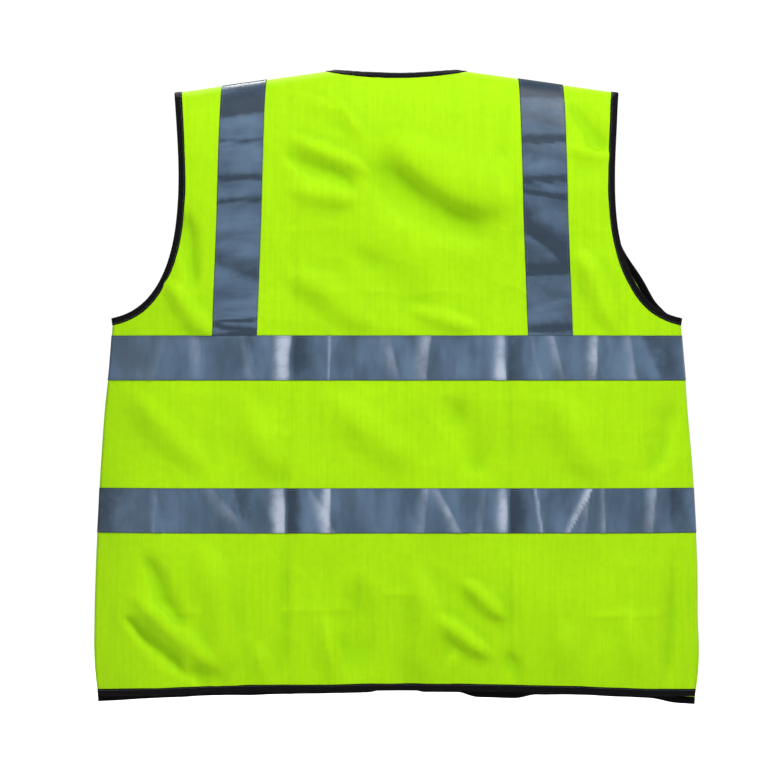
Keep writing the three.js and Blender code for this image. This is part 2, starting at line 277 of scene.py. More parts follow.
# ---- Drape. Lines are in millimetres: x0, z0, x1, z1, then width and height. Heights stand out of the vest.

FOLD_GAIN = 3.3  # by which the folds, but not the creases, stand higher than listed
DRAPE_LIMIT = 11 * MM  # furthest that the cloth stands off the form
BACK_DRAPE = [
    ((-24, -72, 136, -160), 25, 4.9),
    ((-50, -100, 110, -196), 25, -3.6),
    ((-128, -74, -22, -122), 8, 2.3),
    ((-136, -90, -36, -138), 9, -1.6),
    ((-138, -24, -46, -52), 8, 2.0),
    ((-76, -20, -34, -84), 7, 1.7),
    ((-128, -130, -38, -152), 10, 1.6),
    ((-126, -214, -14, -292), 16, 2.6),
    ((-60, -196, 60, -286), 20, -1.8),
    ((8, -262, 96, -288), 10, 1.8),
    ((184, -14, 238, -96), 13, -3.2),
    ((188, -86, 246, -92), 6, 1.6),
    ((196, -196, 250, -300), 12, 2.6),
    ((-240, -150, -222, -250), 9, -2.2),
    ((-262, -232, -196, -300), 12, 2.4),
    ((-300, -577, -176, -681), 10.5, 3.2),
    ((-310, -599, -190, -701), 9.5, -2.8),
    ((-286, -530, -232, -640), 11, -2.6),
    ((-214, -518, -176, -700), 17, 3.0),
    ((-236, -640, -214, -716), 8, 2.2),
    ((-152, -632, -138, -716), 9, 2.4),
    ((28, -540, 34, -722), 15, 3.8),
    ((-44, -560, -34, -722), 18, -3.2),
    ((-78, -596, -60, -716), 10, 2.2),
    ((34, -610, 112, -656), 9, 3.0),
    ((70, -566, 126, -616), 9, 2.4),
    ((62, -640, 44, -720), 7, 2.0),
    ((122, -640, 146, -720), 8, -2.2),
    ((190, -610, 176, -720), 12, 2.0),
    ((250, -590, 276, -712), 12, 2.2),
    ((312, -520, 300, -712), 10, -1.8),
    ((-126, -524, -123, -722), 8, -0.9),
    ((-300, -350, -210, -452), 16, 1.8),
    ((-170, -356, -130, -462), 18, 1.9),
    ((-90, -352, 30, -444), 22, 2.0),
    ((60, -356, 96, -462), 18, -2.0),
    ((160, -352, 240, -462), 20, 2.0),
    ((322, -352, 276, -462), 16, -1.9),
]
BACK_CREASES = [
    ((-124, -440, -123, -740), 4.6, -3.2),
    ((-113, -150, -124, -470), 3.6, -2.1),
    ((-112, -20, -113, -170), 2.6, -0.5),
    ((123, -280, 124, -740), 4.2, -2.8),
    ((116, -20, 118, -100), 4.6, -2.4),
    ((117, -90, 123, -300), 2.8, -0.8),
    ((-80, -420, -79, -640), 3.0, -0.8),
    ((-318, -606, -216, -603), 3.2, 1.9),
    ((-132, -599, -44, -598), 3.2, 1.5),
    ((-16, -583, 34, -581), 3.2, 1.7),
    ((216, -607, 300, -605), 3.2, 2.0),
    ((-345, -404, 345, -402), 2.2, 0.4),
    ((-240, -176, 240, -178), 2.4, 0.4),
]
FRONT_DRAPE = [
    ((62, -70, 150, -230), 18, 3.6),
    ((205, -90, 150, -250), 16, -3.2),
    ((236, -180, 170, -296), 11, 2.8),
    ((20, -240, 110, -292), 11, 2.4),
    ((12, -350, 90, -460), 14, 2.4),
    ((300, -352, 210, -462), 16, 2.2),
    ((150, -350, 120, -462), 18, -2.2),
    ((18, -520, 60, -690), 13, 3.2),
    ((90, -530, 104, -700), 14, -2.6),
    ((180, -530, 160, -700), 14, 2.8),
    ((262, -560, 236, -700), 12, -2.6),
    ((318, -530, 290, -690), 10, 2.2),
]
FRONT_CREASES = [
    ((119, -20, 119, -740), 3.6, -1.4),
    ((0, -602, 345, -600), 2.8, 0.9),
    ((0, -404, 345, -402), 2.2, 0.5),
    ((40, -176, 240, -178), 2.4, 0.6),
]


def puckers(x, z):
    """Small gathers beside the sewn edges of the tape and along the hem."""
    rows = [CHEST_BAND[0][2], CHEST_BAND[1][2], WAIST_BAND[0][2], WAIST_BAND[1][2]]
    pull = sum(np.exp(-np.abs(z - row) / (9 * MM)) for row in rows)
    wander = 22 * MM * lattice(x, z, 90 * MM, 31)
    gathers = np.sin((x + wander) / (2.9 * MM) + 2.2 * lattice(x, z * 0, 24 * MM, 12))
    hem = np.exp(-np.clip(z + LENGTH - HEM_RISE, 0, None) / (14 * MM))
    hem_gathers = np.sin((x + 2 * wander) / (4.1 * MM) + 3 * lattice(x, z * 0, 40 * MM, 14))
    return 0.16 * MM * pull * gathers + 0.42 * MM * hem * hem_gathers


def drape(x, z, layer):
    """How far the cloth stands off the smooth form."""
    back = folds_at(x, z, BACK_DRAPE) + creases_at(x, z, BACK_CREASES)
    front = folds_at(np.abs(x), z, FRONT_DRAPE) + creases_at(np.abs(x), z, FRONT_CREASES)
    shift = 0.7 * layer
    soft = 2.2 * MM * lattice(x + shift, z, 120 * MM, 2) + 1.1 * MM * lattice(x + shift, z, 47 * MM, 3)
    crumple = 1 - np.abs(lattice(x + shift + 0.3 * z, z, 38 * MM, 4))
    fine = 1 - np.abs(lattice(x - 0.4 * z + shift, z, 17 * MM, 6))
    crisp = 0.8 * MM * crumple**3 + 0.25 * MM * fine**2
    seam = smooth((side_half(z) - np.abs(x)) / (34 * MM))
    fold = smooth((-z + shoulder_fold(x) - 4 * MM) / (50 * MM))
    hem = 0.25 + 0.75 * smooth((z + LENGTH - HEM_RISE) / (48 * MM))
    high = (np.where(layer == BACK, back, front) + soft + crisp) * seam * fold * hem
    return DRAPE_LIMIT * np.tanh(high / DRAPE_LIMIT) + puckers(x, z) * smooth(seam * 2) * fold


def draped(x, run, face):
    """Places on the draped cloth's middle surface."""
    place, way, layer = on_form(x, run, face)
    return place + way * drape(place[..., 0], place[..., 2], layer)[..., None]


def on_cloth(x, run, face, proud=0.0):
    """Places raised from the draped cloth, and the cloth's outward direction there."""
    step = 0.8 * MM
    across = draped(x + step, run, face) - draped(x - step, run, face)
    down = draped(x, run + step, face) - draped(x, run - step, face)
    normal = np.cross(across, down) * face
    normal /= np.linalg.norm(normal, axis=-1, keepdims=True)
    return draped(x, run, face) + normal * np.asarray(proud)[..., None], normal


# ---- Meshes

def new_piece(name, verts, faces, material):
    """A mesh object at the origin with one material."""
    mesh = bpy.data.meshes.new(name)
    mesh.from_pydata(verts.tolist(), [], faces)
    mesh.update()
    mesh.materials.append(material)
    mesh.polygons.foreach_set("use_smooth", [True] * len(mesh.polygons))
    piece = bpy.data.objects.new(name, mesh)
    bpy.context.scene.collection.objects.link(piece)
    return piece


def store(piece, name, values):
    """Keeps one number for each vertex, for the material to read."""
    layer = piece.data.attributes.new(name, "FLOAT", "POINT")
    layer.data.foreach_set("value", np.asarray(values, np.float32).ravel())


def store_uv(piece, u, v):
    """Lays the cloth out flat, in metres."""
    uv = piece.data.uv_layers.new(name="cut")
    corner = np.zeros(len(piece.data.loops), int)
    piece.data.loops.foreach_get("vertex_index", corner)
    flat = np.stack([np.ravel(u)[corner], np.ravel(v)[corner]], -1)
    uv.data.foreach_set("uv", flat.astype(np.float32).ravel())


def two_layers(outer, inner, other_way=False):
    """Vertices and faces of a sheet with thickness: its outer layer, its inner one and the rim between."""
    rows, columns = outer.shape[:2]
    count = rows * columns
    index = np.arange(count).reshape(rows, columns)
    a, b, c, d = index[:-1, :-1], index[:-1, 1:], index[1:, 1:], index[1:, :-1]
    top = np.stack([a, d, c, b] if other_way else [a, b, c, d], -1).reshape(-1, 4)
    rim = np.concatenate([index[0, :], index[1:, -1], index[-1, -2::-1], index[-2:0:-1, 0]])
    after = np.roll(rim, -1)
    wall = np.stack([after, rim, rim + count, after + count], -1)
    wall = wall[:, ::-1] if other_way else wall
    verts = np.concatenate([outer.reshape(-1, 3), inner.reshape(-1, 3)])
    return verts, top.tolist() + (top[:, ::-1] + count).tolist() + wall.tolist()


def cloth_grid(name, x, run, face, proud, thick, material, marks=None, turned=False):
    """A sheet with thickness over a grid of places. x and run have the same two dimensions."""
    places, normal = on_cloth(x, run, face, proud)
    half = normal * thick / 2
    verts, faces = two_layers(places + half, places - half, face == FRONT)
    piece = new_piece(name, verts, faces, material)
    u, v = (run, x) if turned else (x, -run)
    store_uv(piece, np.tile(u, (2, 1)), np.tile(v, (2, 1)))
    for mark, values in (marks or {}).items():
        store(piece, mark, np.tile(values, (2, 1)))
    return piece


def flip_check(piece):
    """Turns a closed mesh's faces outwards where they point in."""
    mesh = piece.data
    mesh.calc_loop_triangles()
    co = np.array([v.co for v in mesh.vertices])
    tri = np.array([t.vertices for t in mesh.loop_triangles])
    volume = np.einsum("ij,ij->i", co[tri[:, 0]], np.cross(co[tri[:, 1]], co[tri[:, 2]])).sum()
    if volume < 0:
        mesh.flip_normals()
    return piece


# ---- Materials

class Graph:
    """A material's node tree, built from short calls."""

    def __init__(self, name):
        self.material = bpy.data.materials.new(name)
        self.material.use_nodes = True
        self.tree = self.material.node_tree
        self.shader = self.tree.nodes["Principled BSDF"]

    def node(self, kind, **settings):
        node = self.tree.nodes.new(kind)
        for key, value in settings.items():
            setattr(node, key, value)
        return node

    def link(self, value, socket):
        """Joins an output to a socket, or sets the socket to a plain value."""
        if isinstance(value, bpy.types.NodeSocket):
            self.tree.links.new(value, socket)
        else:
            socket.default_value = value

    def cut(self):
        """Places on the flat cloth, in metres."""
        return self.node("ShaderNodeUVMap", uv_map="cut").outputs["UV"]

    def place(self):
        """Places in the vest's own frame."""
        return self.node("ShaderNodeTexCoord").outputs["Object"]

    def mark(self, name):
        """A number stored on the piece."""
        return self.node("ShaderNodeAttribute", attribute_name=name).outputs["Fac"]

    def noise(self, vector, scale, detail=2.0, rough=0.5, warp=0.0):
        node = self.node("ShaderNodeTexNoise")
        self.link(vector, node.inputs["Vector"])
        node.inputs["Scale"].default_value = scale
        node.inputs["Detail"].default_value = detail
        node.inputs["Roughness"].default_value = rough
        node.inputs["Distortion"].default_value = warp
        return node.outputs["Fac"]

    def wave(self, vector, scale, direction="X", warp=0.0):
        node = self.node("ShaderNodeTexWave", bands_direction=direction, wave_profile="SIN")
        self.link(vector, node.inputs["Vector"])
        node.inputs["Scale"].default_value = scale
        node.inputs["Distortion"].default_value = warp
        node.inputs["Detail"].default_value = 1.0
        return node.outputs["Fac"]

    def math(self, operation, a, b=0.0):
        node = self.node("ShaderNodeMath", operation=operation)
        self.link(a, node.inputs[0])
        self.link(b, node.inputs[1])
        return node.outputs[0]

    def ramp(self, value, low, high, start=0.0, end=1.0):
        """Goes smoothly from start to end as the value goes from low to high."""
        node = self.node("ShaderNodeMapRange", interpolation_type="SMOOTHSTEP")
        self.link(value, node.inputs["Value"])
        for key, number in (("From Min", low), ("From Max", high), ("To Min", start), ("To Max", end)):
            node.inputs[key].default_value = number
        return node.outputs["Result"]

    def mix(self, share, a, b):
        node = self.node("ShaderNodeMix", data_type="RGBA")
        self.link(share, node.inputs["Factor"])
        self.link(a, node.inputs["A"])
        self.link(b, node.inputs["B"])
        return node.outputs["Result"]

    def bump(self, height, distance, strength=1.0, under=None):
        node = self.node("ShaderNodeBump")
        node.inputs["Strength"].default_value = strength
        node.inputs["Distance"].default_value = distance
        self.link(height, node.inputs["Height"])
        if under is not None:
            self.link(under, node.inputs["Normal"])
        return node.outputs["Normal"]

    def finish(self, **inputs):
        for name, value in inputs.items():
            self.link(value, self.shader.inputs[name.replace("_", " ")])
        return self.material


def rgb(color, gain=1.0):
    return (color[0] * gain, color[1] * gain, color[2] * gain, 1.0)


def fabric_material(look):
    """Fluorescent warp knit: fine wales and courses, slight pilling, painted shade, greener and darker, in
    the drape's hollows, and a painted highlight on pressed creases."""
    g = Graph("fluorescent knit")
    cut = g.cut()
    wales = g.wave(cut, 350.0, "X", 0.6)
    courses = g.wave(cut, 300.0, "Y", 0.9)
    knit = g.math("MULTIPLY", wales, courses)
    broad = g.noise(cut, 9.0, 3.0, 0.55)
    mottle = g.noise(cut, 140.0, 4.0, 0.65)
    fuzz = g.noise(cut, 1500.0, 2.0, 0.6)
    stretch = g.node("ShaderNodeMapping")
    g.link(cut, stretch.inputs["Vector"])
    stretch.inputs["Scale"].default_value = (330.0, 9.0, 1.0)
    ribs = g.noise(stretch.outputs["Vector"], 1.0, 3.0, 0.6)
    lit = g.mix(g.ramp(broad, 0.32, 0.7), rgb(look.fabric_color, 0.95), rgb(look.fabric_color, 1.02))
    toned = g.mix(g.ramp(mottle, 0.35, 0.75, 0.0, 0.2), lit, rgb(look.fabric_shade))
    ribbed = g.mix(g.ramp(ribs, 0.35, 0.7, 0.0, 0.22), toned, rgb(look.fabric_shade))
    threads = g.mix(g.ramp(knit, 0.0, 0.5, 0.16, 0.0), ribbed, rgb(look.fabric_shade, 0.8))
    # Painted shade: greener and darker in the drape's hollows.
    painted_hollow_shade = g.mix(g.ramp(g.mark("hollow"), 0.0, 1.0, 0.0, 0.3), threads, rgb(look.fabric_shade, 0.9))
    # Painted highlight along the pressed creases.
    pressed = g.ramp(g.mark("crease"), 0.25, 1.0, 0.0, 0.3)
    color = g.mix(pressed, painted_hollow_shade, rgb(look.fabric_color, 1.15))
    crumple = g.bump(mottle, 0.5 * MM, 0.35)
    weave = g.bump(g.math("ADD", knit, g.math("MULTIPLY", fuzz, 0.5)), 0.12 * MM, 0.5, crumple)
    # The emission is a painted glow, partly real fluorescence: the knit gives it out whether it is lit or
    # not.
    return g.finish(
        Base_Color=color, Roughness=g.ramp(fuzz, 0.2, 0.8, 0.66, 0.85), Normal=weave,
        Emission_Color=color, Emission_Strength=look.fabric_painted_glow,
        Sheen_Weight=0.02, Sheen_Roughness=0.45, Specular_IOR_Level=0.05,
    )


def tape_material(look):
    """Glass-bead reflective tape: satin grey with a fine bead grain, painted highlights and painted shade
    along its creases, darker blotches, and painted shade along its edges and where it bends over the
    shoulder, both of which are also rougher."""
    g = Graph("reflective tape")
    cut = g.cut()
    grain = g.noise(cut, 2600.0, 2.0, 0.7)
    weave = g.wave(cut, 430.0, "DIAGONAL", 0.4)
    facets = g.node("ShaderNodeMapping")
    g.link(cut, facets.inputs["Vector"])
    facets.inputs["Scale"].default_value = (34.0, 11.0, 1.0)
    cloud = g.noise(facets.outputs["Vector"], 1.0, 3.0, 0.55)
    blot = g.noise(cut, 75.0, 5.0, 0.7, 0.3)
    painted_light_shade = g.mark("painted_light_shade")
    edge = g.mark("edge")
    body = g.mix(g.ramp(cloud, 0.3, 0.72), rgb(look.tape_color, 0.68), rgb(look.tape_color, 1.3))
    dulled = g.mix(g.ramp(blot, 0.5, 0.8, 0.0, 0.35), body, rgb(look.tape_color, 0.7))
    # Painted highlights (above 0) and painted shade (below 0) along the tape's creases, patchy over the
    # blotches.
    patchy_light = g.math("MULTIPLY", painted_light_shade, g.ramp(blot, 0.25, 0.62, 0.75, 1.12))
    tape_crease_highlight = g.mix(g.ramp(patchy_light, 0.05, 0.95, 0.0, 0.9), dulled, rgb(look.tape_highlight_color))
    tape_crease_shade = g.mix(g.ramp(patchy_light, -0.05, -0.7, 0.0, 0.9), tape_crease_highlight, rgb(look.tape_color, 0.3))
    # Painted shade along the tape's edges and where it bends over the shoulder.
    color = g.mix(g.ramp(edge, 0.25, 0.9, 0.0, 0.75), tape_crease_shade, rgb(look.tape_color, 0.22))
    folds = g.bump(blot, 0.7 * MM, 0.35)
    fine = g.bump(g.math("ADD", grain, weave), 0.05 * MM, 0.5, folds)
    satin = g.ramp(cloud, 0.25, 0.75, 0.36, 0.5)
    return g.finish(
        Base_Color=color, Roughness=g.math("ADD", satin, g.ramp(edge, 0.25, 0.9, 0.0, 0.6)), Normal=fine,
        Metallic=0.0, Specular_IOR_Level=0.1,
    )


def binding_material(look):
    """Black woven binding, ribbed across its width and dusty along its fold."""
    g = Graph("black binding")
    cut = g.cut()
    ribs = g.wave(cut, 300.0, "X", 0.5)
    cross = g.wave(cut, 420.0, "Y", 0.3)
    dust = g.noise(cut, 210.0, 4.0, 0.7)
    color = g.mix(g.ramp(dust, 0.45, 0.8, 0.0, 0.5), rgb(look.binding_color), rgb(look.binding_color, 2.2))
    ribbed = g.mix(g.ramp(ribs, 0.1, 0.9, 0.0, 0.3), color, rgb(look.binding_color, 0.4))
    normal = g.bump(g.math("ADD", ribs, g.math("MULTIPLY", cross, 0.4)), 0.16 * MM, 0.7)
    return g.finish(
        Base_Color=ribbed, Roughness=g.ramp(dust, 0.3, 0.8, 0.6, 0.85), Normal=normal,
        Specular_IOR_Level=0.03,
    )


def thread_material(name, color):
    """Twisted polyester thread."""
    g = Graph(name)
    place = g.place()
    twist = g.wave(place, 1500.0, "DIAGONAL", 0.3)
    tone = g.noise(place, 320.0, 2.0)
    shade = g.mix(g.ramp(tone, 0.3, 0.7), rgb(color, 0.75), rgb(color, 1.1))
    return g.finish(
        Base_Color=g.mix(g.ramp(twist, 0.2, 0.9, 0.35, 0.0), shade, rgb(color, 0.5)),
        Roughness=0.5, Normal=g.bump(twist, 0.05 * MM, 0.5), Sheen_Weight=0.2,
    )


def tape_base_material(name, color, gloss):
    """Woven base of a closure patch."""
    g = Graph(name)
    place = g.place()
    weft = g.wave(place, 360.0, "Z", 0.4)
    warp = g.wave(place, 420.0, "X", 0.4)
    tone = g.noise(place, 130.0, 3.0)
    shade = g.mix(g.ramp(tone, 0.3, 0.7), rgb(color, 0.93), rgb(color, 1.04))
    woven = g.math("MULTIPLY", weft, warp)
    return g.finish(
        Base_Color=g.mix(g.ramp(woven, 0.0, 0.6, 0.3, 0.0), shade, rgb(color, 0.6)),
        Roughness=gloss, Normal=g.bump(woven, 0.15 * MM, 0.6), Specular_IOR_Level=0.12,
    )


def label_material(look):
    """White satin-woven label with a plain border."""
    g = Graph("woven label")
    cut = g.cut()
    satin = g.wave(cut, 520.0, "Y", 0.3)
    tone = g.noise(cut, 60.0, 3.0)
    border = g.mark("border")
    cloth = g.mix(g.ramp(tone, 0.3, 0.7), rgb(look.label_color, 0.86), rgb(look.label_color, 1.0))
    color = g.mix(g.ramp(border, 0.4, 0.6, 0.0, 0.8), cloth, (0.22, 0.24, 0.27, 1))
    return g.finish(
        Base_Color=color, Roughness=g.ramp(tone, 0.3, 0.7, 0.38, 0.5), Normal=g.bump(satin, 0.08 * MM, 0.5),
        Sheen_Weight=0.2, Specular_IOR_Level=0.5,
    )


MADE = {}


def material(name):
    """Each finish is made once, from the look's colours."""
    look = bpy.context.scene.vest_look
    if name not in MADE:
        MADE[name] = {
            "fabric": lambda: fabric_material(look),
            "tape": lambda: tape_material(look),
            "binding": lambda: binding_material(look),
            "grey_thread": lambda: thread_material("grey thread", (0.035, 0.05, 0.07)),
            "black_thread": lambda: thread_material("black thread", (0.008, 0.008, 0.009)),
            "green_thread": lambda: thread_material("green thread", look.fabric_shade),
            "hook": lambda: tape_base_material("hook tape", (0.17, 0.31, 0.004), 0.5),
            "loop": lambda: tape_base_material("loop tape", (0.19, 0.34, 0.005), 0.85),
            "label": lambda: label_material(look),
        }[name]()
    return MADE[name]


# ---- Baking a piece in place


def bend_at_fold(piece):
    """Bakes the piece's placement into its mesh."""
    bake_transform(piece)


# ---- Cloth panels

def crease_mark(x, run, face):
    """How sharply the cloth is pressed at each place, for the painted highlight on its creases."""
    place, _, layer = on_form(x, run, face)
    px, pz = place[..., 0], place[..., 2]
    back = sum(crease_near(px, pz, ends, 1.6) for ends, _, _ in BACK_CREASES)
    front = sum(crease_near(np.abs(px), pz, ends, 1.6) for ends, _, _ in FRONT_CREASES)
    return np.where(layer == BACK, back, front)


def hollow_shade_mark(x, run, face):
    """How hollow the drape is at each place, for the painted shade in its hollows."""
    place, _, layer = on_form(x, run, face)
    px, pz = place[..., 0], place[..., 2]
    step = 14 * MM
    ways = ((1, 0), (-1, 0), (0, 1), (0, -1))
    around = sum(drape(px + dx * step, pz + dz * step, layer) for dx, dz in ways) / len(ways)
    return np.clip((around - drape(px, pz, layer)) / (2.4 * MM), 0, 1)


def row_runs(grid):
    """Runs of the rows from the shoulder fold to the hem, before they are fitted to the edges. Rows lie
    closer where the armhole sweeps out under the arm."""
    zero = np.array(0.0)
    stops = [0.0] + [float(run_at(zero, zero - drop)) for drop in (SLIT_DROP, SWEEP_DROP, LENGTH)]
    spans = []
    for start, end, pitch in zip(stops, stops[1:], (grid, grid * 0.4, grid)):
        spans.append(np.linspace(start, end, int(round((end - start) / pitch)) + 1)[:-1])
    return np.append(np.concatenate(spans), stops[-1])


def row_half(run, hand, face):
    """Half width of each row, found again from the height there until it settles."""
    half = np.full_like(run, SHOULDER_HALF)
    for _ in range(3):
        height = on_form(half, run, face)[0][..., 2]
        half = outline_half(height, hand, face)
    return half


def fit_to_hem(x, run, face):
    """Draws the lowest rows up or down so the last one lies on the hem."""
    last = run_at(x[-1], hem_height(x[-1], face)) - run[-1]
    share = smooth((run - run[-1] + 110 * MM) / (110 * MM))
    return run + share * last[None, :]


def back_grid(grid):
    """Places of the back's vertices, as distances across and runs."""
    run_rows = row_runs(grid)
    columns = np.linspace(-1, 1, int(round(2 * HIP_HALF / grid)) + 1)
    right, left = (row_half(run_rows, hand, BACK) for hand in (RIGHT, LEFT))
    x = np.where(columns > 0, columns * right[:, None], columns * left[:, None])
    run = np.repeat(run_rows[:, None], len(columns), 1)
    scoop = -BACK_NECK_DROP * np.clip(1 - (x[0] / NECK_HALF) ** 2, 0, None)
    neck = np.where(np.abs(x[0]) < NECK_HALF, run_at(x[0] * 0, scoop), 0)
    run = run + neck[None, :] * (1 - smooth(run / (95 * MM)))
    return x, fit_to_hem(x, run, BACK)


def front_inner(z):
    """The front edge's distance from the middle, at a height on the right front."""
    line = NECK_HALF + z * (NECK_HALF - EDGE_X) / FRONT_NECK_DROP
    neckline = (line + EDGE_X) / 2 + np.hypot(line - EDGE_X, 4 * MM) / 2
    corner = np.clip(-LENGTH + CORNER_RADIUS - z, 0, CORNER_RADIUS * 0.999)
    return neckline + CORNER_RADIUS - np.sqrt(CORNER_RADIUS**2 - corner**2)


def front_grid(side, grid):
    """Places of a front's vertices, as distances across and runs."""
    hand = SIDES[side]
    run_rows = row_runs(grid)
    columns = np.linspace(0, 1, int(round((HIP_HALF - EDGE_X) / grid)) + 1)
    outer = row_half(run_rows, hand, FRONT)
    height = on_form(outer * 0 + EDGE_X, run_rows, FRONT)[0][..., 2]
    inner = front_inner(height)
    x = hand * (inner[:, None] + (outer - inner)[:, None] * columns)
    run = np.repeat(run_rows[:, None], len(columns), 1)
    if side == "left":
        x, run = x[:, ::-1], run[:, ::-1]
    return x, fit_to_hem(x, run, FRONT)


# ---- Binding swept along an edge

def lengths(places):
    """How far along a path each of its places is."""
    return np.concatenate([[0], np.cumsum(np.linalg.norm(np.diff(places, axis=0), axis=-1))])


def sweep_binding(name, x, run, face, inward, size, overrun=0.0):
    """Folded tape round an edge, and its stitch line. inward is 1 where the cloth is on the left of the path,
    seen from outside. Both ends run on by overrun."""
    places, normal = on_cloth(x, run, face)
    count = len(x)
    tangent = np.gradient(places, axis=0)
    tangent /= np.linalg.norm(tangent, axis=-1, keepdims=True)
    places[0] -= tangent[0] * overrun
    places[-1] += tangent[-1] * overrun
    into = np.cross(normal, tangent) * inward
    length = lengths(places)
    half = size.binding_thick / 2
    width = size.binding_width
    lip = [  # half the profile: in over the cloth, and height above it as a share of half the thickness
        (width, 0.45), (width * 0.97, 0.85), (width * 0.72, 0.80), (width * 0.45, 1.0),
        (width * 0.16, 1.05), (-0.06 * width, 0.92), (-0.15 * width, 0.5), (-0.17 * width, 0.0),
    ]
    profile = lip + [(a, -b) for a, b in lip[-2::-1]]
    ripple = 0.16 * np.sin(length / (1.7 * MM)) * lattice(length, length * 0, 18 * MM, 51)
    breadth = 0.35 * MM * lattice(length, length * 0, 26 * MM, 53)
    rings = []
    for a, b in profile:
        off = (a + breadth * (a > 0))[:, None]
        rise = (b * half * (1.0 + ripple))[:, None]
        rings.append(places + into * off + normal * rise)
    rings = np.stack(rings, 1)
    size_ring = len(profile)
    verts = rings.reshape(-1, 3)
    faces = []
    for i in range(count - 1):
        low, high = i * size_ring, (i + 1) * size_ring
        for j in range(size_ring):
            k = (j + 1) % size_ring
            faces.append((low + j, low + k, high + k, high + j))
    faces.append(tuple(range(size_ring))[::-1])
    faces.append(tuple((count - 1) * size_ring + j for j in range(size_ring)))
    piece = flip_check(new_piece(name, verts, faces, material("binding")))
    steps = [abs(after[0] - before[0]) + 0.3 * MM for before, after in zip(profile, profile[1:])]
    across = np.cumsum([0] + steps)
    store_uv(piece, np.repeat(length[:, None], size_ring, 1), np.repeat(across[None, :], count, 0))
    line = places + into * width * 0.78 + normal * half * 0.95
    return piece, line


def spaced(x, run, face):
    """The same path at an even spacing."""
    places = on_form(x, run, face)[0]
    length = lengths(places)
    even = np.linspace(0, length[-1], max(int(round(length[-1] / BINDING_PITCH)), 2) + 1)
    return np.interp(even, length, x), np.interp(even, length, run)


# ---- Stitches, hooks and loops, made by geometry nodes

def node_tree(name, sizes):
    """A geometry node tree with named sizes, its input and output, and a short call that adds a node."""
    tree = bpy.data.node_groups.new(name, "GeometryNodeTree")
    tree.interface.new_socket("Geometry", in_out="INPUT", socket_type="NodeSocketGeometry")
    tree.interface.new_socket("Geometry", in_out="OUTPUT", socket_type="NodeSocketGeometry")
    for size in sizes:
        tree.interface.new_socket(size, in_out="INPUT", socket_type="NodeSocketFloat")
    tree.interface.new_socket("Material", in_out="INPUT", socket_type="NodeSocketMaterial")
    source = tree.nodes.new("NodeGroupInput")
    result = tree.nodes.new("NodeGroupOutput")

    def add(kind, settings=(), **inputs):
        node = tree.nodes.new(kind)
        for key, value in dict(settings).items():
            setattr(node, key, value)
        for key, value in inputs.items():
            socket = node.inputs[key.replace("_", " ")]
            if isinstance(value, bpy.types.NodeSocket):
                tree.links.new(value, socket)
            else:
                socket.default_value = value
        return node

    return tree, source, result, add


def finish_tree(tree, source, result, add, instances):
    """Makes the instances real, gives them their material and ends the tree."""
    solid = add("GeometryNodeRealizeInstances", Geometry=instances)
    painted = add("GeometryNodeSetMaterial", Geometry=solid.outputs[0], Material=source.outputs["Material"])
    smooth_shade = add("GeometryNodeSetShadeSmooth", Geometry=painted.outputs[0])
    tree.links.new(smooth_shade.outputs[0], result.inputs[0])
    return tree


def stitch_tree():
    """Short threads laid end to end along each path."""
    tree, source, result, add = node_tree("stitch rows", ("Pitch", "Length", "Thickness"))
    curve = add("GeometryNodeMeshToCurve", Mesh=source.outputs["Geometry"])
    dots = add("GeometryNodeResampleCurve", {"mode": "LENGTH"}, Curve=curve.outputs[0],
               Length=source.outputs["Pitch"])
    tangent = add("GeometryNodeInputTangent")
    turn = add("FunctionNodeAlignRotationToVector", {"axis": "X"}, Vector=tangent.outputs[0])
    scale = add("ShaderNodeCombineXYZ", X=source.outputs["Length"], Y=source.outputs["Thickness"],
                Z=source.outputs["Thickness"])
    bead = add("GeometryNodeMeshUVSphere", Segments=6, Rings=4, Radius=0.5)
    threads = add("GeometryNodeInstanceOnPoints", Points=dots.outputs[0], Instance=bead.outputs[0],
                  Rotation=turn.outputs[0], Scale=scale.outputs[0])
    return finish_tree(tree, source, result, add, threads.outputs[0])


def pile_tree():
    """Small hooks or loops of thread that stand on each point, turned at random."""
    tree, source, result, add = node_tree("closure pile", ("Radius", "Sweep", "Thread"))
    arc = add("GeometryNodeCurveArc", Resolution=5, Radius=source.outputs["Radius"],
              Sweep_Angle=source.outputs["Sweep"])
    ring = add("GeometryNodeCurvePrimitiveCircle", Resolution=3, Radius=source.outputs["Thread"])
    wire = add("GeometryNodeCurveToMesh", Curve=arc.outputs[0], Profile_Curve=ring.outputs[0], Fill_Caps=True)
    stood = add("GeometryNodeTransform", Geometry=wire.outputs[0], Rotation=(math.pi / 2, 0, 0))
    normal = add("GeometryNodeInputNamedAttribute", {"data_type": "FLOAT_VECTOR"}, Name="stand")
    turn = add("FunctionNodeAlignRotationToVector", {"axis": "Z"}, Vector=normal.outputs[0])
    spin = add("FunctionNodeRandomValue", {"data_type": "FLOAT"}, Seed=7)
    spin.inputs[2].default_value = 0.0
    spin.inputs[3].default_value = 2 * math.pi
    about = add("ShaderNodeCombineXYZ", Z=spin.outputs[1])
    local = add("FunctionNodeRotateRotation", {"rotation_space": "LOCAL"}, Rotation=turn.outputs[0],
                Rotate_By=about.outputs[0])
    points = add("GeometryNodeMeshToPoints", Mesh=source.outputs["Geometry"])
    pile = add("GeometryNodeInstanceOnPoints", Points=points.outputs[0], Instance=stood.outputs[0],
               Rotation=local.outputs[0])
    return finish_tree(tree, source, result, add, pile.outputs[0])


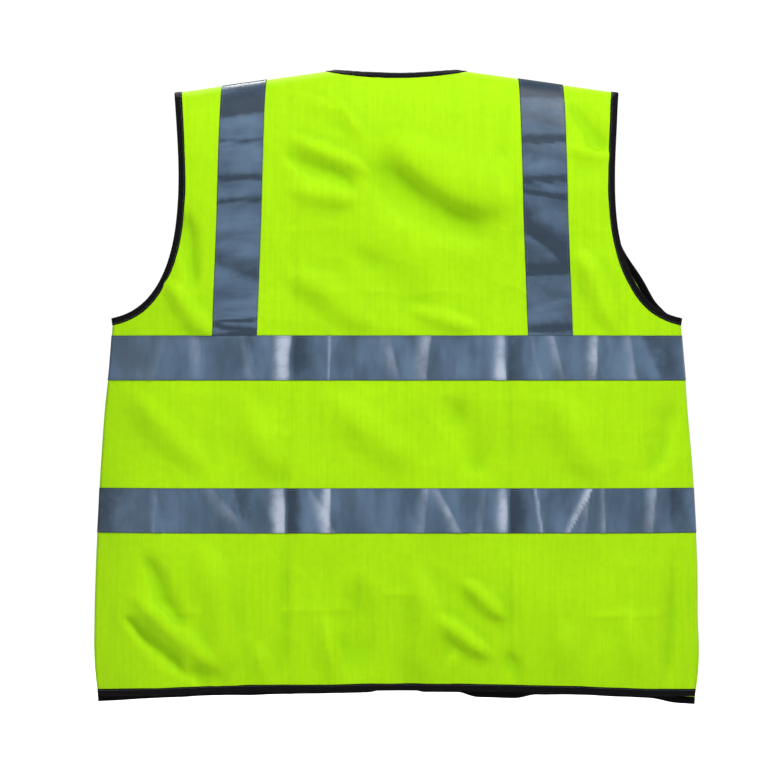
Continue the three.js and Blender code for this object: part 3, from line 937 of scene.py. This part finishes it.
def grow(name, carrier, tree, sizes, finish):
    """Runs a tree on a carrier mesh and keeps its result as a plain mesh."""
    scene = bpy.context.scene
    holder = bpy.data.objects.new(f"{name}_path", carrier)
    scene.collection.objects.link(holder)
    modifier = holder.modifiers.new("grow", "NODES")
    modifier.node_group = tree
    values = {**sizes, "Material": finish}
    for item in tree.interface.items_tree:
        if item.in_out == "INPUT" and item.name in values:
            modifier[item.identifier] = values[item.name]
    evaluated = holder.evaluated_get(bpy.context.evaluated_depsgraph_get())
    mesh = bpy.data.meshes.new_from_object(evaluated)
    mesh.name = name
    holder.modifiers.remove(modifier)
    bpy.data.objects.remove(holder)
    if not mesh.polygons:
        raise RuntimeError(f"{name} came out empty")
    piece = bpy.data.objects.new(name, mesh)
    scene.collection.objects.link(piece)
    return piece


def stitch_rows(name, lines, thread):
    """Stitches along each line of places."""
    size = bpy.context.scene.vest_cloth
    verts = np.concatenate(lines)
    edges, start = [], 0
    for line in lines:
        edges += [(start + i, start + i + 1) for i in range(len(line) - 1)]
        start += len(line)
    carrier = bpy.data.meshes.new(name)
    carrier.from_pydata(verts.tolist(), edges, [])
    sizes = {"Pitch": size.stitch_pitch, "Length": size.stitch_length, "Thickness": size.thread_thick}
    return grow(name, carrier, stitch_tree(), sizes, material(thread))


SEWN = {"vest": [], "right": [], "left": []}  # lines of places to stitch, with their thread


def sew(group, line, thread):
    """Keeps a line to be stitched once all the pieces are made."""
    SEWN[group].append((line, thread))


# ---- Reflective tape

# Where the tape was creased: place along it, lean across it, width, and how much painted highlight (above 0)
# or painted shade (below 0) lies there.
BACK_CREASE_LIGHT = {
    "chest": [
        (-318, 0, 9, -0.25), (-264, 8, 12, 0.2), (-217, -3, 11, 0.35), (-214, 0, 26, -0.22),
        (-163, -6, 9, 0.35),
        (-161, -3, 15, -0.35), (-119, 1, 14, 0.9), (-117, 0, 20, -0.6), (-73, 1, 3.4, 0.6), (-71, 0, 9, -0.2),
        (-4, -6, 12, 0.3), (34, 2, 11, 0.55), (37, 0, 12, -0.15), (120, 0, 9, 1.0), (122, 0, 14, -0.6),
        (156, -6, 6, 0.28), (180, -7, 9, 0.32), (222, 1, 9, 0.6), (225, 0, 10, -0.2), (262, -4, 9, 0.32),
        (288, -12, 24, -0.5)],
    "waist": [
        (-330, 0, 84, -0.42), (-268, -4, 16, 0.35), (-267, 3, 5, 0.3), (-186, -22, 24, 0.35),
        (-172, -4, 18, -0.35), (-124, 0, 13, 1.0), (-122, 0, 13, -0.85), (-84, -14, 14, 0.3),
        (-76, 1, 7, 0.7),
        (-22, 0, 20, -0.22), (31, 2, 10, 0.35), (58, -14, 9, 0.4), (70, 0, 14, -0.15), (96, 2, 8, 0.3),
        (124, 0, 9, 1.0), (126, 0, 16, -0.8), (159, -4, 4, 0.8), (162, 0, 12, -0.25), (204, 13, 5, 0.75),
        (212, 2, 8, 0.3), (231, 0, 5, 0.4), (286, 2, 9, 0.4), (308, 0, 16, -0.45)],
}
FRONT_CREASE_LIGHT = {
    "chest": [(30, 4, 12, -0.25), (44, 6, 6, 0.5), (78, -8, 8, 0.35), (117, 3, 5, 0.9), (125, -1, 4, -0.5),
              (160, 8, 12, 0.2), (206, 7, 6, 0.4), (268, -9, 8, 0.35), (300, 3, 10, -0.3)],
    "waist": [(30, -4, 7, 0.4), (70, 12, 6, 0.5), (92, 3, 8, -0.25), (115, -3, 5, 0.9), (124, 1, 4, -0.6),
              (180, 14, 8, 0.45), (234, -8, 7, 0.35), (290, 7, 6, 0.4), (316, 2, 10, -0.3)],
}
BRACE_CREASE_LIGHT = {
    ("left", BACK): [
        (-44, 4, 22, -0.7), (-72, 3, 16, 0.25), (-79, 1, 4, -0.6), (-84, 2, 3, -0.35), (-121, 1, 4, -0.75),
        (-128, 1, 5, 0.2), (-146, 2, 3, -0.7), (-175, -6, 18, 0.15), (-222, -9, 12, -0.3), (-262, 9, 14, 0.2),
        (-280, 2, 2.2, -0.9), (-288, -3, 3, -0.8), (-296, 2, 4, -0.8)],
    ("right", BACK): [
        (-26, -1, 12, -0.75), (-62, -6, 14, 0.25), (-79, 1, 5, -0.85), (-104, 3, 12, 0.2), (-123, 1, 3, -0.9),
        (-131, 1, 5, 0.4), (-140, -4, 4.4, -0.8), (-160, 6, 10, 0.15), (-196, -20, 16, -0.8),
        (-198, -18, 8, 0.25), (-225, 1, 7, -0.95), (-262, 8, 12, 0.18), (-289, 1, 5, -0.6)],
    ("left", FRONT): [
        (-60, 4, 8, 0.3), (-122, -4, 4, -0.7), (-130, -4, 4, 0.3), (-180, 9, 8, 0.3), (-250, -4, 5, -0.6)],
    ("right", FRONT): [
        (-72, -4, 8, 0.3), (-118, 5, 4, -0.7), (-127, 5, 4, 0.3), (-196, -9, 8, 0.3), (-262, 4, 5, -0.6)],
}
BRACE_DARKENING = {"left": 0.16, "right": 0.34}  # how much darker the whole brace is made
TAPE_ROWS = MM * np.array(  # where the tape's vertices lie across it, closest at its edges
    [0, 0.5, 1.2, 2.2, 4.5, 8, 12, 16, 20.5, 25, 29.5, 34, 38, 42, 45.5, 47.8, 48.8, 49.5, 50])
TAPE_HALF = 25 * MM


def painted_crease_light(along, across, marks):
    """How much painted highlight (above 0) or painted shade (below 0) lies on the tape along its creases.
    along and across follow the tape.
    """
    total = 0 * along
    for centre, lean, width, strength in marks:
        away = along - centre * MM - lean * MM * across / TAPE_HALF
        away = away + 0.5 * MM * lattice(across + centre, along * 0, 21 * MM, 17)
        patchy = 0.9 + 0.35 * lattice(along + centre, across, 22 * MM, 19)
        away = away if strength > 0 else -away
        fade = np.where(away < 0, 1.25, 0.28) * width * MM  # one side of a crease fades, the other ends short
        total = total + strength * patchy * np.exp(-((away / fade) ** 2))
    return np.clip(total, -1, 1)


def ridges(along, across, marks):
    """The small fold that stands out at each crease painted with highlight, and sinks at each one painted
    with shade.
    """
    total = 0 * along
    for centre, lean, width, strength in marks:
        away = along - centre * MM - lean * MM * across / TAPE_HALF
        total = total + 0.32 * MM * strength * np.exp(-((away / (width * 0.8 * MM)) ** 2))
    return total


def band_lines(x_of, low, high, face, proud):
    """Stitch lines just inside a band's two edges."""
    lines = []
    for height in (low + STITCH_INSET, high - STITCH_INSET):
        x = x_of(height)
        lines.append(on_cloth(x, run_at(x, x * 0 + height), face, proud)[0])
    return lines


def make_band(name, which, box, face, start_x, side, group):
    """One level band of tape. start_x is where a front band begins, beside its binding."""
    size = bpy.context.scene.vest_cloth
    low, high = box[0][2], box[1][2]
    rows = high - TAPE_ROWS * (high - low) / TAPE_ROWS[-1]
    hand = SIDES.get(side, 0)
    pitch = size.tape_grid

    def x_at(height, columns=None):
        if face == BACK:
            columns = np.linspace(-1, 1, int(2 * HIP_HALF / pitch)) if columns is None else columns
            right, left = (outline_half(np.array(height), h, BACK) for h in (RIGHT, LEFT))
            return np.where(columns > 0, columns * right, columns * left)
        columns = np.linspace(0, 1, int(HIP_HALF / pitch)) if columns is None else columns
        outer = outline_half(np.array(height), hand, FRONT)
        x = hand * (start_x + (outer - start_x) * columns)
        return x if hand == RIGHT else x[::-1]

    x = np.stack([x_at(height) for height in rows])
    z = np.repeat(rows[:, None], x.shape[1], 1)
    across = z - (low + high) / 2
    marks = (BACK_CREASE_LIGHT if face == BACK else FRONT_CREASE_LIGHT)[which]
    along = x if face == BACK else np.abs(x)
    # A chest band's upper edge lies over the braces' ends
    over = smooth((np.abs(x) - 132 * MM) / (8 * MM)) * smooth((218 * MM - np.abs(x)) / (8 * MM))
    over = over * smooth((z - high + 20 * MM) / (8 * MM)) * (which == "chest")
    proud = size.tape_proud + 0.5 * MM * over + ridges(along, across, marks)
    # Painted shade along the band's two edges.
    edge = np.exp(-np.minimum(z - low, high - z) / (1.0 * MM))
    piece = cloth_grid(name, x, run_at(x, z), face, proud, size.tape_thick, material("tape"),
                       {"painted_light_shade": painted_crease_light(along, across, marks), "edge": edge})
    top = size.tape_proud + size.tape_thick / 2 + STITCH_LIFT
    for line in band_lines(x_at, low, high, face, top + 0.25 * MM * (which == "chest")):
        sew(group, line, "grey_thread")
    return piece


def make_brace(side):
    """A brace, one length of tape from under the front chest band over the shoulder to under the back one."""
    size = bpy.context.scene.vest_cloth
    hand = SIDES[side]
    foot = CHEST_BAND[1][2] - TAPE_TUCK
    reach = float(run_at(np.array(BRACE_TOP), np.array(foot)))
    run_rows = np.linspace(-reach, reach, int(round(2 * reach / size.tape_grid)) + 1)
    centre = BRACE_TOP + BRACE_SPLAY * np.abs(run_rows) / reach
    offset = TAPE_ROWS - TAPE_HALF
    x = BRACE_SHIFT + hand * centre[:, None] + offset[None, :]
    run = np.repeat(run_rows[:, None], len(offset), 1)
    z = on_form(x, run, BACK)[0][..., 2]
    across = np.repeat(offset[None, :], len(run_rows), 0) * np.where(run < 0, -1, 1)
    behind, before = BRACE_CREASE_LIGHT[side, BACK], BRACE_CREASE_LIGHT[side, FRONT]
    painted_light_shade = np.where(run > 0, painted_crease_light(z, across, behind), painted_crease_light(z, across, before))
    ridge = np.where(run > 0, ridges(z, across, behind), ridges(z, across, before))
    # The whole brace is made darker, and painted shade lies where it bends over the shoulder.
    darkened = BRACE_DARKENING[side] + 1.1 * np.exp(-((run / (11 * MM)) ** 2))
    painted_light_shade = np.clip(painted_light_shade - darkened, -1, 1)
    # Painted shade along the brace's two edges.
    edge = np.exp(-(TAPE_HALF - np.abs(across)) / (1.0 * MM))
    edge = np.maximum(edge, np.exp(-((run / (14 * MM)) ** 4)))  # painted shade, darkest and roughest, where it bends over the shoulder
    piece = cloth_grid(f"{side}_brace", x, run, BACK, size.tape_proud + ridge, size.tape_thick,
                       material("tape"), {"painted_light_shade": painted_light_shade, "edge": edge}, turned=True)
    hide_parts(f"{side}_shoulder_brace")
    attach(piece, "vest")
    top = size.tape_proud + size.tape_thick / 2 + STITCH_LIFT
    for inset in (-TAPE_HALF + STITCH_INSET, TAPE_HALF - STITCH_INSET):
        line = on_cloth(BRACE_SHIFT + hand * centre + inset, run_rows, BACK, top)[0]
        keep = (run_rows > -reach + TAPE_TUCK) & (run_rows < reach - TAPE_TUCK)
        sew("vest", line[keep], "grey_thread")


# ---- What a user would change

class VestLook(bpy.types.PropertyGroup):
    fabric_color: FloatVectorProperty(
        name="Fabric", description="Colour of the lit knit", subtype="COLOR", size=3,
        default=(0.194, 0.36, 0.0006))
    # The knit's colour in shade, a shaded copy of Fabric: mixed in, it paints shade in the drape's hollows,
    # and it darkens the knit between its threads, along its ribs and in its mottle.
    fabric_shade: FloatVectorProperty(
        name="Fabric shade", description="Colour between the knit's ribs", subtype="COLOR", size=3,
        default=(0.102, 0.265, 0.0003))
    # Painted glow, partly real fluorescence: the knit gives out this light whether it is lit or not.
    fabric_painted_glow: FloatProperty(
        name="Fluorescence", description="Light the fabric gives out of what it takes in", default=0.05,
        min=0, max=1)
    tape_color: FloatVectorProperty(
        name="Tape", description="Colour of the reflective tape", subtype="COLOR", size=3,
        default=(0.037, 0.060, 0.092))
    # Colour of the painted highlight along the tape's creases.
    tape_highlight_color: FloatVectorProperty(
        name="Tape creases", description="Colour of the tape where it was creased", subtype="COLOR", size=3,
        default=(0.21, 0.235, 0.29))
    binding_color: FloatVectorProperty(
        name="Binding", description="Colour of the binding tape", subtype="COLOR", size=3,
        default=(0.002, 0.002, 0.0026))
    label_color: FloatVectorProperty(
        name="Label", description="Colour of the care label", subtype="COLOR", size=3,
        default=(0.42, 0.42, 0.405))


class VestCloth(bpy.types.PropertyGroup):
    grid: FloatProperty(
        name="Cloth grid", description="Spacing of the cloth's vertices", unit="LENGTH", default=3.6 * MM)
    thick: FloatProperty(
        name="Cloth thickness", description="Thickness of the knit", unit="LENGTH", default=0.7 * MM)
    fold_width: FloatProperty(
        name="Fold width", description="Width of cloth that turns where a front folds open", unit="LENGTH",
        default=24 * MM)
    tape_grid: FloatProperty(
        name="Tape grid", description="Spacing of the tape's vertices along it", unit="LENGTH",
        default=2.8 * MM)
    tape_thick: FloatProperty(
        name="Tape thickness", description="Thickness of the reflective tape", unit="LENGTH",
        default=0.35 * MM)
    tape_proud: FloatProperty(
        name="Tape height", description="Height of the tape's middle above the cloth's", unit="LENGTH",
        default=0.85 * MM)
    binding_width: FloatProperty(
        name="Binding width", description="Width of the folded binding", unit="LENGTH", default=7 * MM)
    binding_thick: FloatProperty(
        name="Binding thickness", description="Thickness of the binding folded round the cloth",
        unit="LENGTH", default=2.3 * MM)
    stitch_pitch: FloatProperty(
        name="Stitch pitch", description="Distance from one stitch to the next", unit="LENGTH",
        default=3.0 * MM)
    stitch_length: FloatProperty(
        name="Stitch length", description="Length of the thread that shows", unit="LENGTH",
        default=2.3 * MM)
    thread_thick: FloatProperty(
        name="Thread", description="Thickness of the thread", unit="LENGTH", default=0.42 * MM)


class VestStage(bpy.types.PropertyGroup):
    lens: FloatProperty(name="Lens", description="Focal length of the camera", unit="CAMERA", default=300.0)
    frame_width: FloatProperty(
        name="View width", description="Width of the view at the vest", unit="LENGTH", default=853.7 * MM)
    floor_color: FloatVectorProperty(
        name="Floor", description="Colour of the floor", subtype="COLOR", size=3, default=(0.50, 0.50, 0.50))
    key_light: FloatProperty(
        name="Key light", description="Power of the main lights", unit="POWER", default=365.0)
    sky: FloatProperty(
        name="Fill", description="Strength of the light from above and below", default=0.06, min=0)


# ---- Operators

PANELS = {}  # each panel with its cut: distances across, and runs


class VEST_OT_panels(bpy.types.Operator):
    """Cuts and drapes the back and the two fronts"""

    bl_idname = "vest.panels"
    bl_label = "Cloth panels"

    def execute(self, context):
        grid = context.scene.vest_cloth.grid
        back = self.panel("back", "back", BACK, *back_grid(grid))
        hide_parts("back_panel")
        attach(back, "vest")
        for side in SIDES:
            front = self.panel(side, f"{side}_front", FRONT, *front_grid(side, grid))
            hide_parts(f"{side}_front_panel", f"{side}_flap_panel")
            bend_at_fold(front)
        return {"FINISHED"}

    def panel(self, key, name, face, x, run):
        """One panel of cloth, kept with its cut."""
        marks = {"crease": crease_mark(x, run, face), "hollow": hollow_shade_mark(x, run, face)}
        thick = bpy.context.scene.vest_cloth.thick
        piece = cloth_grid(name, x, run, face, 0.0, thick, material("fabric"), marks)
        PANELS[key] = (piece, x, run)
        return piece


class VEST_OT_tape(bpy.types.Operator):
    """Lays the level bands and the shoulder braces of reflective tape"""

    bl_idname = "vest.tape"
    bl_label = "Reflective tape"

    def execute(self, context):
        bands = {"chest": CHEST_BAND, "waist": WAIST_BAND}
        start_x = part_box("right_flap_chest_band")[0][0] - CAUGHT
        for which, box in bands.items():
            band = make_band(f"back_{which}_tape", which, box, BACK, 0.0, None, "vest")
            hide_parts(f"back_{which}_band")
            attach(band, "vest")
            for side in SIDES:
                band = make_band(f"{side}_front_{which}_tape", which, box, FRONT, start_x, side, side)
                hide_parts(f"{side}_front_{which}_band", f"{side}_flap_{which}_band")
                bend_at_fold(band)
        for side in SIDES:
            make_brace(side)
        return {"FINISHED"}


class VEST_OT_binding(bpy.types.Operator):
    """Wraps the neck, armholes, front edges and hem in folded tape"""

    bl_idname = "vest.binding"
    bl_label = "Binding"

    def execute(self, context):
        size = context.scene.vest_cloth
        _, back_x, back_run = PANELS["back"]

        def bind(name, node, x, run, face, inward, group, overrun=0.0):
            piece, line = sweep_binding(name, *spaced(x, run, face), face, inward, size, overrun)
            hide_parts(node)
            if group == "vest":
                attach(piece, "vest")
            else:
                bend_at_fold(piece)
            sew(group, line, "black_thread")

        # Neck: up the right neckline, round the back of the neck and down the left one
        _, x, run = PANELS["right"]
        upper = run[:, 0] < NECK_JOIN
        right_x, right_run = x[upper, 0][::-1], run[upper, 0][::-1]
        _, x, run = PANELS["left"]
        upper = run[:, -1] < NECK_JOIN
        left_x, left_run = x[upper, -1], run[upper, -1]
        scoop = np.abs(back_x[0]) < NECK_HALF
        neck_x = np.concatenate([right_x, back_x[0][scoop][::-1], left_x])
        neck_run = np.concatenate([right_run, -back_run[0][scoop][::-1], left_run])
        bind("neck_edge", "neck_binding", neck_x, neck_run, FRONT, -1, "vest")
        bind("back_hem_edge", "hem_binding", back_x[-1], back_run[-1], BACK, 1, "vest")

        for side, hand in SIDES.items():
            _, x, run = PANELS[side]
            inner, outer = (0, -1) if hand == RIGHT else (-1, 0)
            # Front edge, from the neck binding down to the hem and out to the side seam
            lower = run[:, inner] >= NECK_JOIN
            lower[np.argmax(lower) - 1] = True
            bottom = slice(1, None) if hand == RIGHT else slice(-2, None, -1)
            edge_x = np.concatenate([x[lower, inner], x[-1][bottom]])
            edge_run = np.concatenate([run[lower, inner], run[-1][bottom]])
            bind(f"{side}_front_edge", f"{side}_flap_binding", edge_x, edge_run, FRONT, hand, side)
            # Armhole, from under the arm up the back, over the shoulder and down the front
            above = on_form(back_x[:, outer], back_run[:, outer], BACK)[0][:, 2] > -ARMHOLE_DROP - 1 * MM
            front_above = on_form(x[:, outer], run[:, outer], FRONT)[0][:, 2] > -ARMHOLE_DROP - 1 * MM
            arm_x = np.concatenate([back_x[above, outer][::-1], x[front_above, outer][1:]])
            arm_run = np.concatenate([back_run[above, outer][::-1], -run[front_above, outer][1:]])
            bind(f"{side}_armhole_edge", f"{side}_armhole_binding", arm_x, arm_run, BACK, hand, "vest",
                 overrun=2.0 * MM)  # so the two ends meet under the arm
        return {"FINISHED"}


class VEST_OT_seams(bpy.types.Operator):
    """Turns in and overlocks the side and shoulder seams"""

    bl_idname = "vest.seams"
    bl_label = "Seam allowances"

    def execute(self, context):
        for side, hand in SIDES.items():
            low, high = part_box(f"{side}_side_seam")
            heights = np.linspace(high[2], low[2], 150)
            across = np.linspace(0, 1, 5)
            ruffle = 1.3 * MM * np.sin(heights / (9 * MM) + 2 * lattice(heights, heights * 0, 40 * MM, 71))
            outer = side_half(heights) - 1.5 * MM
            x = hand * (outer[:, None] - 7.5 * MM * across[None, :])
            y = ruffle[:, None] * across[None, :] ** 2
            self.strip(side, "side", np.stack([x, y + 0 * x, heights[:, None] + 0 * x], -1))
            low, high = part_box(f"{side}_shoulder_seam")
            reach = np.linspace(abs(low[0]) if side == "right" else abs(high[0]), SHOULDER_HALF - 9 * MM, 60)
            ruffle = 1.2 * MM * np.sin(reach / (8 * MM))
            z = shoulder_fold(reach)[:, None] - 0.8 * MM - 7.5 * MM * across[None, :]
            x = hand * reach[:, None] + 0 * z
            self.strip(side, "shoulder", np.stack([x, ruffle[:, None] * across**2 + 0 * z, z], -1))
        return {"FINISHED"}

    def strip(self, side, seam, places):
        """A narrow strip of two cloth layers, with overlock stitches along its free edge."""
        across = np.gradient(places, axis=1)
        along = np.gradient(places, axis=0)
        normal = np.cross(across, along)
        normal /= np.linalg.norm(normal, axis=-1, keepdims=True)
        thick = 1.1 * MM
        verts, faces = two_layers(places + normal * thick / 2, places - normal * thick / 2)
        name = f"{side}_{seam}_seam_allowance"
        piece = flip_check(new_piece(name, verts, faces, material("fabric")))
        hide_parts(f"{side}_{seam}_seam")
        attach(piece, "vest")
        store_uv(piece, np.tile(places[..., 2], (2, 1)), np.tile(places[..., 0], (2, 1)))
        for mark in ("crease", "hollow"):
            store(piece, mark, np.zeros(len(verts)))
        edge, out = places[:, -1], across[:, -1]
        zigzag = 1.6 * MM * np.where(np.arange(len(places)) % 2, 1, 0)[:, None]
        lock = zigzag * out / np.linalg.norm(out, axis=-1, keepdims=True)
        for way in (1, -1):
            sew("vest", edge - lock + normal[:, -1] * way * (thick / 2 + 0.2 * MM), "green_thread")


class VEST_OT_closures(bpy.types.Operator):
    """Adds the hook and loop patches that fasten the fronts"""

    bl_idname = "vest.closures"
    bl_label = "Hook and loop patches"

    def execute(self, context):
        kinds = {
            ("left", "hook"): (-0.9 * MM, {"Radius": 0.42 * MM, "Sweep": 3.9, "Thread": 0.09 * MM}),
            ("right", "loop"): (0.95 * MM, {"Radius": 0.55 * MM, "Sweep": math.pi, "Thread": 0.07 * MM}),
        }
        for (side, kind), (proud, facts) in kinds.items():
            for level in ("top", "middle", "bottom"):
                node = f"{side}_{kind}_patch_{level}"
                low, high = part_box(node)
                x = np.linspace(low[0], high[0], 17)[None, :] + np.zeros((33, 1))
                z = np.linspace(high[2], low[2], 33)[:, None] + np.zeros((1, 17))
                round_off = 2.2 * MM * (np.abs(np.linspace(-1, 1, 33)) > 0.95)[:, None]
                end_columns = np.abs(np.linspace(-1, 1, 17)) > 0.99
                x = x - np.sign(x - (low[0] + high[0]) / 2) * round_off * end_columns
                run = run_at(x, z)
                patch = cloth_grid(f"{side}_{kind}_{level}", x, run, FRONT, proud, 0.7 * MM, material(kind))
                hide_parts(node)
                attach(patch, f"{side}_flap")
                inset = 2.6 * MM
                px, pz = np.meshgrid(np.arange(low[0] + inset, high[0] - inset, 1.15 * MM),
                                     np.arange(low[2] + inset, high[2] - inset, 1.15 * MM))
                lift = math.copysign(0.3 * MM, proud)
                over = px.ravel() * 0 + proud + lift
                places, normal = on_cloth(px.ravel(), run_at(px, pz).ravel(), FRONT, over)
                stand = normal * math.copysign(1, proud)
                carrier = bpy.data.meshes.new(f"{node}_points")
                carrier.from_pydata(places.tolist(), [], [])
                layer = carrier.attributes.new("stand", "FLOAT_VECTOR", "POINT")
                layer.data.foreach_set("vector", stand.astype(np.float32).ravel())
                pile = grow(f"{side}_{kind}_pile_{level}", carrier, pile_tree(), facts, material(kind))
                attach(pile, f"{side}_flap")
                left, right, foot, head = low[0], high[0], low[2], high[2]
                corners = [(left, foot), (right, foot), (right, head), (left, head), (left, foot)]
                middle = ((low[0] + high[0]) / 2, (low[2] + high[2]) / 2)
                fit = 1 - 1.5 * MM / (10 * MM)
                line = []
                for (x0, z0), (x1, z1) in zip(corners, corners[1:]):
                    for t in np.linspace(0, 1, 12):
                        line.append((x0 + (x1 - x0) * t, z0 + (z1 - z0) * t))
                line = np.array(line)
                lx = middle[0] + (line[:, 0] - middle[0]) * fit
                lz = middle[1] + (line[:, 1] - middle[1]) * (1 - 1.5 * MM / (20 * MM))
                sewn = on_cloth(lx, run_at(lx, lz), FRONT, lx * 0 + proud + 1.4 * lift)[0]
                sew(side, sewn, "green_thread")
        return {"FINISHED"}


class VEST_OT_label(bpy.types.Operator):
    """Sews the blank care label inside the back neck"""

    bl_idname = "vest.label"
    bl_label = "Care label"

    def execute(self, context):
        low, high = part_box("care_label")
        x = np.linspace(low[0], high[0], 25)[None, :] + np.zeros((37, 1))
        share = np.linspace(0, 1, 37)[:, None] + np.zeros((1, 25))
        z = high[2] + (low[2] - high[2]) * share
        curl = 3.2 * MM * share**2 * (1 + 0.5 * (x / high[0]) ** 2) + 0.8 * MM * np.sin(share * 7) * share
        y = high[1] + 0.4 * MM + curl
        thick = 0.35 * MM
        places = np.stack([x, y, z], -1)
        verts, faces = two_layers(places, places - np.array([0, thick, 0]))
        label = flip_check(new_piece("label", verts, faces, material("label")))
        store_uv(label, np.tile(x, (2, 1)), np.tile(z, (2, 1)))
        rim_gap = np.minimum(high[0] - np.abs(x), np.minimum(high[2] - z, z - low[2]))
        store(label, "border", np.tile((np.abs(rim_gap - 3.4 * MM) < 1.0 * MM) * 1.0, (2, 1)))
        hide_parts("care_label")
        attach(label, "vest")
        sewn_x = np.linspace(low[0] + 2 * MM, high[0] - 2 * MM, 14)
        top_line = np.stack([sewn_x, np.full(14, high[1] + 0.7 * MM), np.full(14, high[2] - 1.8 * MM)], -1)
        sew("vest", top_line, "grey_thread")
        return {"FINISHED"}


class VEST_OT_stitching(bpy.types.Operator):
    """Stitches the tape, binding, patches and label"""

    bl_idname = "vest.stitching"
    bl_label = "Stitching"

    def execute(self, context):
        slots = {
            "grey_thread": "reflective_tape", "black_thread": "binding_tape",
            "green_thread": "seam_allowance",
        }
        for group, sewn in SEWN.items():
            for thread, slot in slots.items():
                lines = [line for line, kind in sewn if kind == thread]
                if not lines:
                    continue
                stitches = stitch_rows(f"{group}_{thread}_stitches", lines, thread)
                if group == "vest":
                    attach(stitches, "vest")
                else:
                    bend_at_fold(stitches)
        return {"FINISHED"}


class VEST_OT_stage(bpy.types.Operator):
    """Sets the floor, lights and camera"""

    bl_idname = "vest.stage"
    bl_label = "Stage"

    def execute(self, context):
        scene = context.scene
        stage = scene.vest_stage
        g = Graph("floor")
        tone = g.noise(g.place(), 1.5, 2.0)
        floor_material = g.finish(
            Base_Color=g.mix(g.ramp(tone, 0.3, 0.7), rgb(stage.floor_color, 0.985), rgb(stage.floor_color)),
            Roughness=0.9, Specular_IOR_Level=0.1, Emission_Color=rgb(stage.floor_color),
            Emission_Strength=0.7)
        count = 96
        height = -LENGTH - 0.10
        radius = 4.0
        turns = [2 * math.pi * i / count for i in range(count)]
        verts = [(radius * math.cos(turn), radius * math.sin(turn), height) for turn in turns]
        mesh = bpy.data.meshes.new("floor")
        mesh.from_pydata(verts, [], [tuple(range(count))])
        mesh.materials.append(floor_material)
        floor = bpy.data.objects.new("floor", mesh)
        scene.collection.objects.link(floor)

        world = bpy.data.worlds.new("studio")
        world.use_nodes = True
        sky = world.node_tree
        way = sky.nodes.new("ShaderNodeTexCoord")
        parts = sky.nodes.new("ShaderNodeSeparateXYZ")
        band = sky.nodes.new("ShaderNodeMapRange")
        band.interpolation_type = "SMOOTHSTEP"
        sky.links.new(way.outputs["Generated"], parts.inputs[0])
        sky.links.new(parts.outputs["Z"], band.inputs["Value"])
        for key, value in (("From Min", 0.07), ("From Max", 0.22), ("To Min", 1.04), ("To Max", stage.sky)):
            band.inputs[key].default_value = value
        background = sky.nodes["Background"]
        background.inputs["Color"].default_value = (1, 1, 1, 1)
        sky.links.new(band.outputs["Result"], background.inputs["Strength"])
        scene.world = world

        target = Vector((0, 0, -LENGTH / 2))
        lights = (
            ("key_back", (1.1, -2.4, 2.75), 0.8, 1.0), ("fill_back", (-3.0, -2.2, 0.4), 1.6, 0.16),
            ("key_front", (-1.1, 2.4, 2.75), 0.8, 1.0), ("fill_front", (3.0, 2.2, 0.4), 1.6, 0.16),
        )
        for name, place, width, share in lights:
            lamp = bpy.data.lights.new(name, "AREA")
            lamp.shape = "SQUARE"
            lamp.size = width
            lamp.energy = stage.key_light * share
            light = bpy.data.objects.new(name, lamp)
            light.location = place
            light.rotation_euler = (target - Vector(place)).to_track_quat("-Z", "Y").to_euler()
            scene.collection.objects.link(light)

        camera = bpy.data.objects.new("camera", bpy.data.cameras.new("camera"))
        camera.data.lens = stage.lens
        camera.data.sensor_width = 36.0
        camera.data.clip_end = 60.0
        distance = stage.frame_width * stage.lens / camera.data.sensor_width
        middle = Vector((-13.9 * MM, -HALF_DEPTH, -349 * MM))
        camera.location = middle - Vector((0, distance, 0))
        camera.rotation_euler = (math.pi / 2, 0, 0)
        scene.collection.objects.link(camera)
        scene.camera = camera
        scene.view_settings.view_transform = "Standard"
        return {"FINISHED"}


STEPS = (VEST_OT_stage, VEST_OT_panels, VEST_OT_tape, VEST_OT_binding, VEST_OT_seams, VEST_OT_closures,
         VEST_OT_label, VEST_OT_stitching)


class VEST_PT_vest(bpy.types.Panel):
    """The vest's sizes, colours and steps"""

    bl_idname = "VEST_PT_vest"
    bl_label = "High visibility vest"
    bl_space_type = "VIEW_3D"
    bl_region_type = "UI"
    bl_category = "Vest"

    def draw(self, context):
        for group in (context.scene.vest_look, context.scene.vest_cloth, context.scene.vest_stage):
            box = self.layout.box()
            for name in group.__annotations__:
                box.prop(group, name)
        for step in STEPS:
            self.layout.operator(step.bl_idname)


GROUPS = {"vest_look": VestLook, "vest_cloth": VestCloth, "vest_stage": VestStage}


def register():
    for kind in (*GROUPS.values(), *STEPS, VEST_PT_vest):
        bpy.utils.register_class(kind)
    for name, kind in GROUPS.items():
        setattr(bpy.types.Scene, name, PointerProperty(type=kind))


def unregister():
    for name in GROUPS:
        delattr(bpy.types.Scene, name)
    for kind in (VEST_PT_vest, *reversed(STEPS), *GROUPS.values()):
        bpy.utils.unregister_class(kind)


def main():
    register()
    for step in STEPS:
        family, name = step.bl_idname.split(".")
        getattr(getattr(bpy.ops, family), name)()


if __name__ == "__main__":
    main()
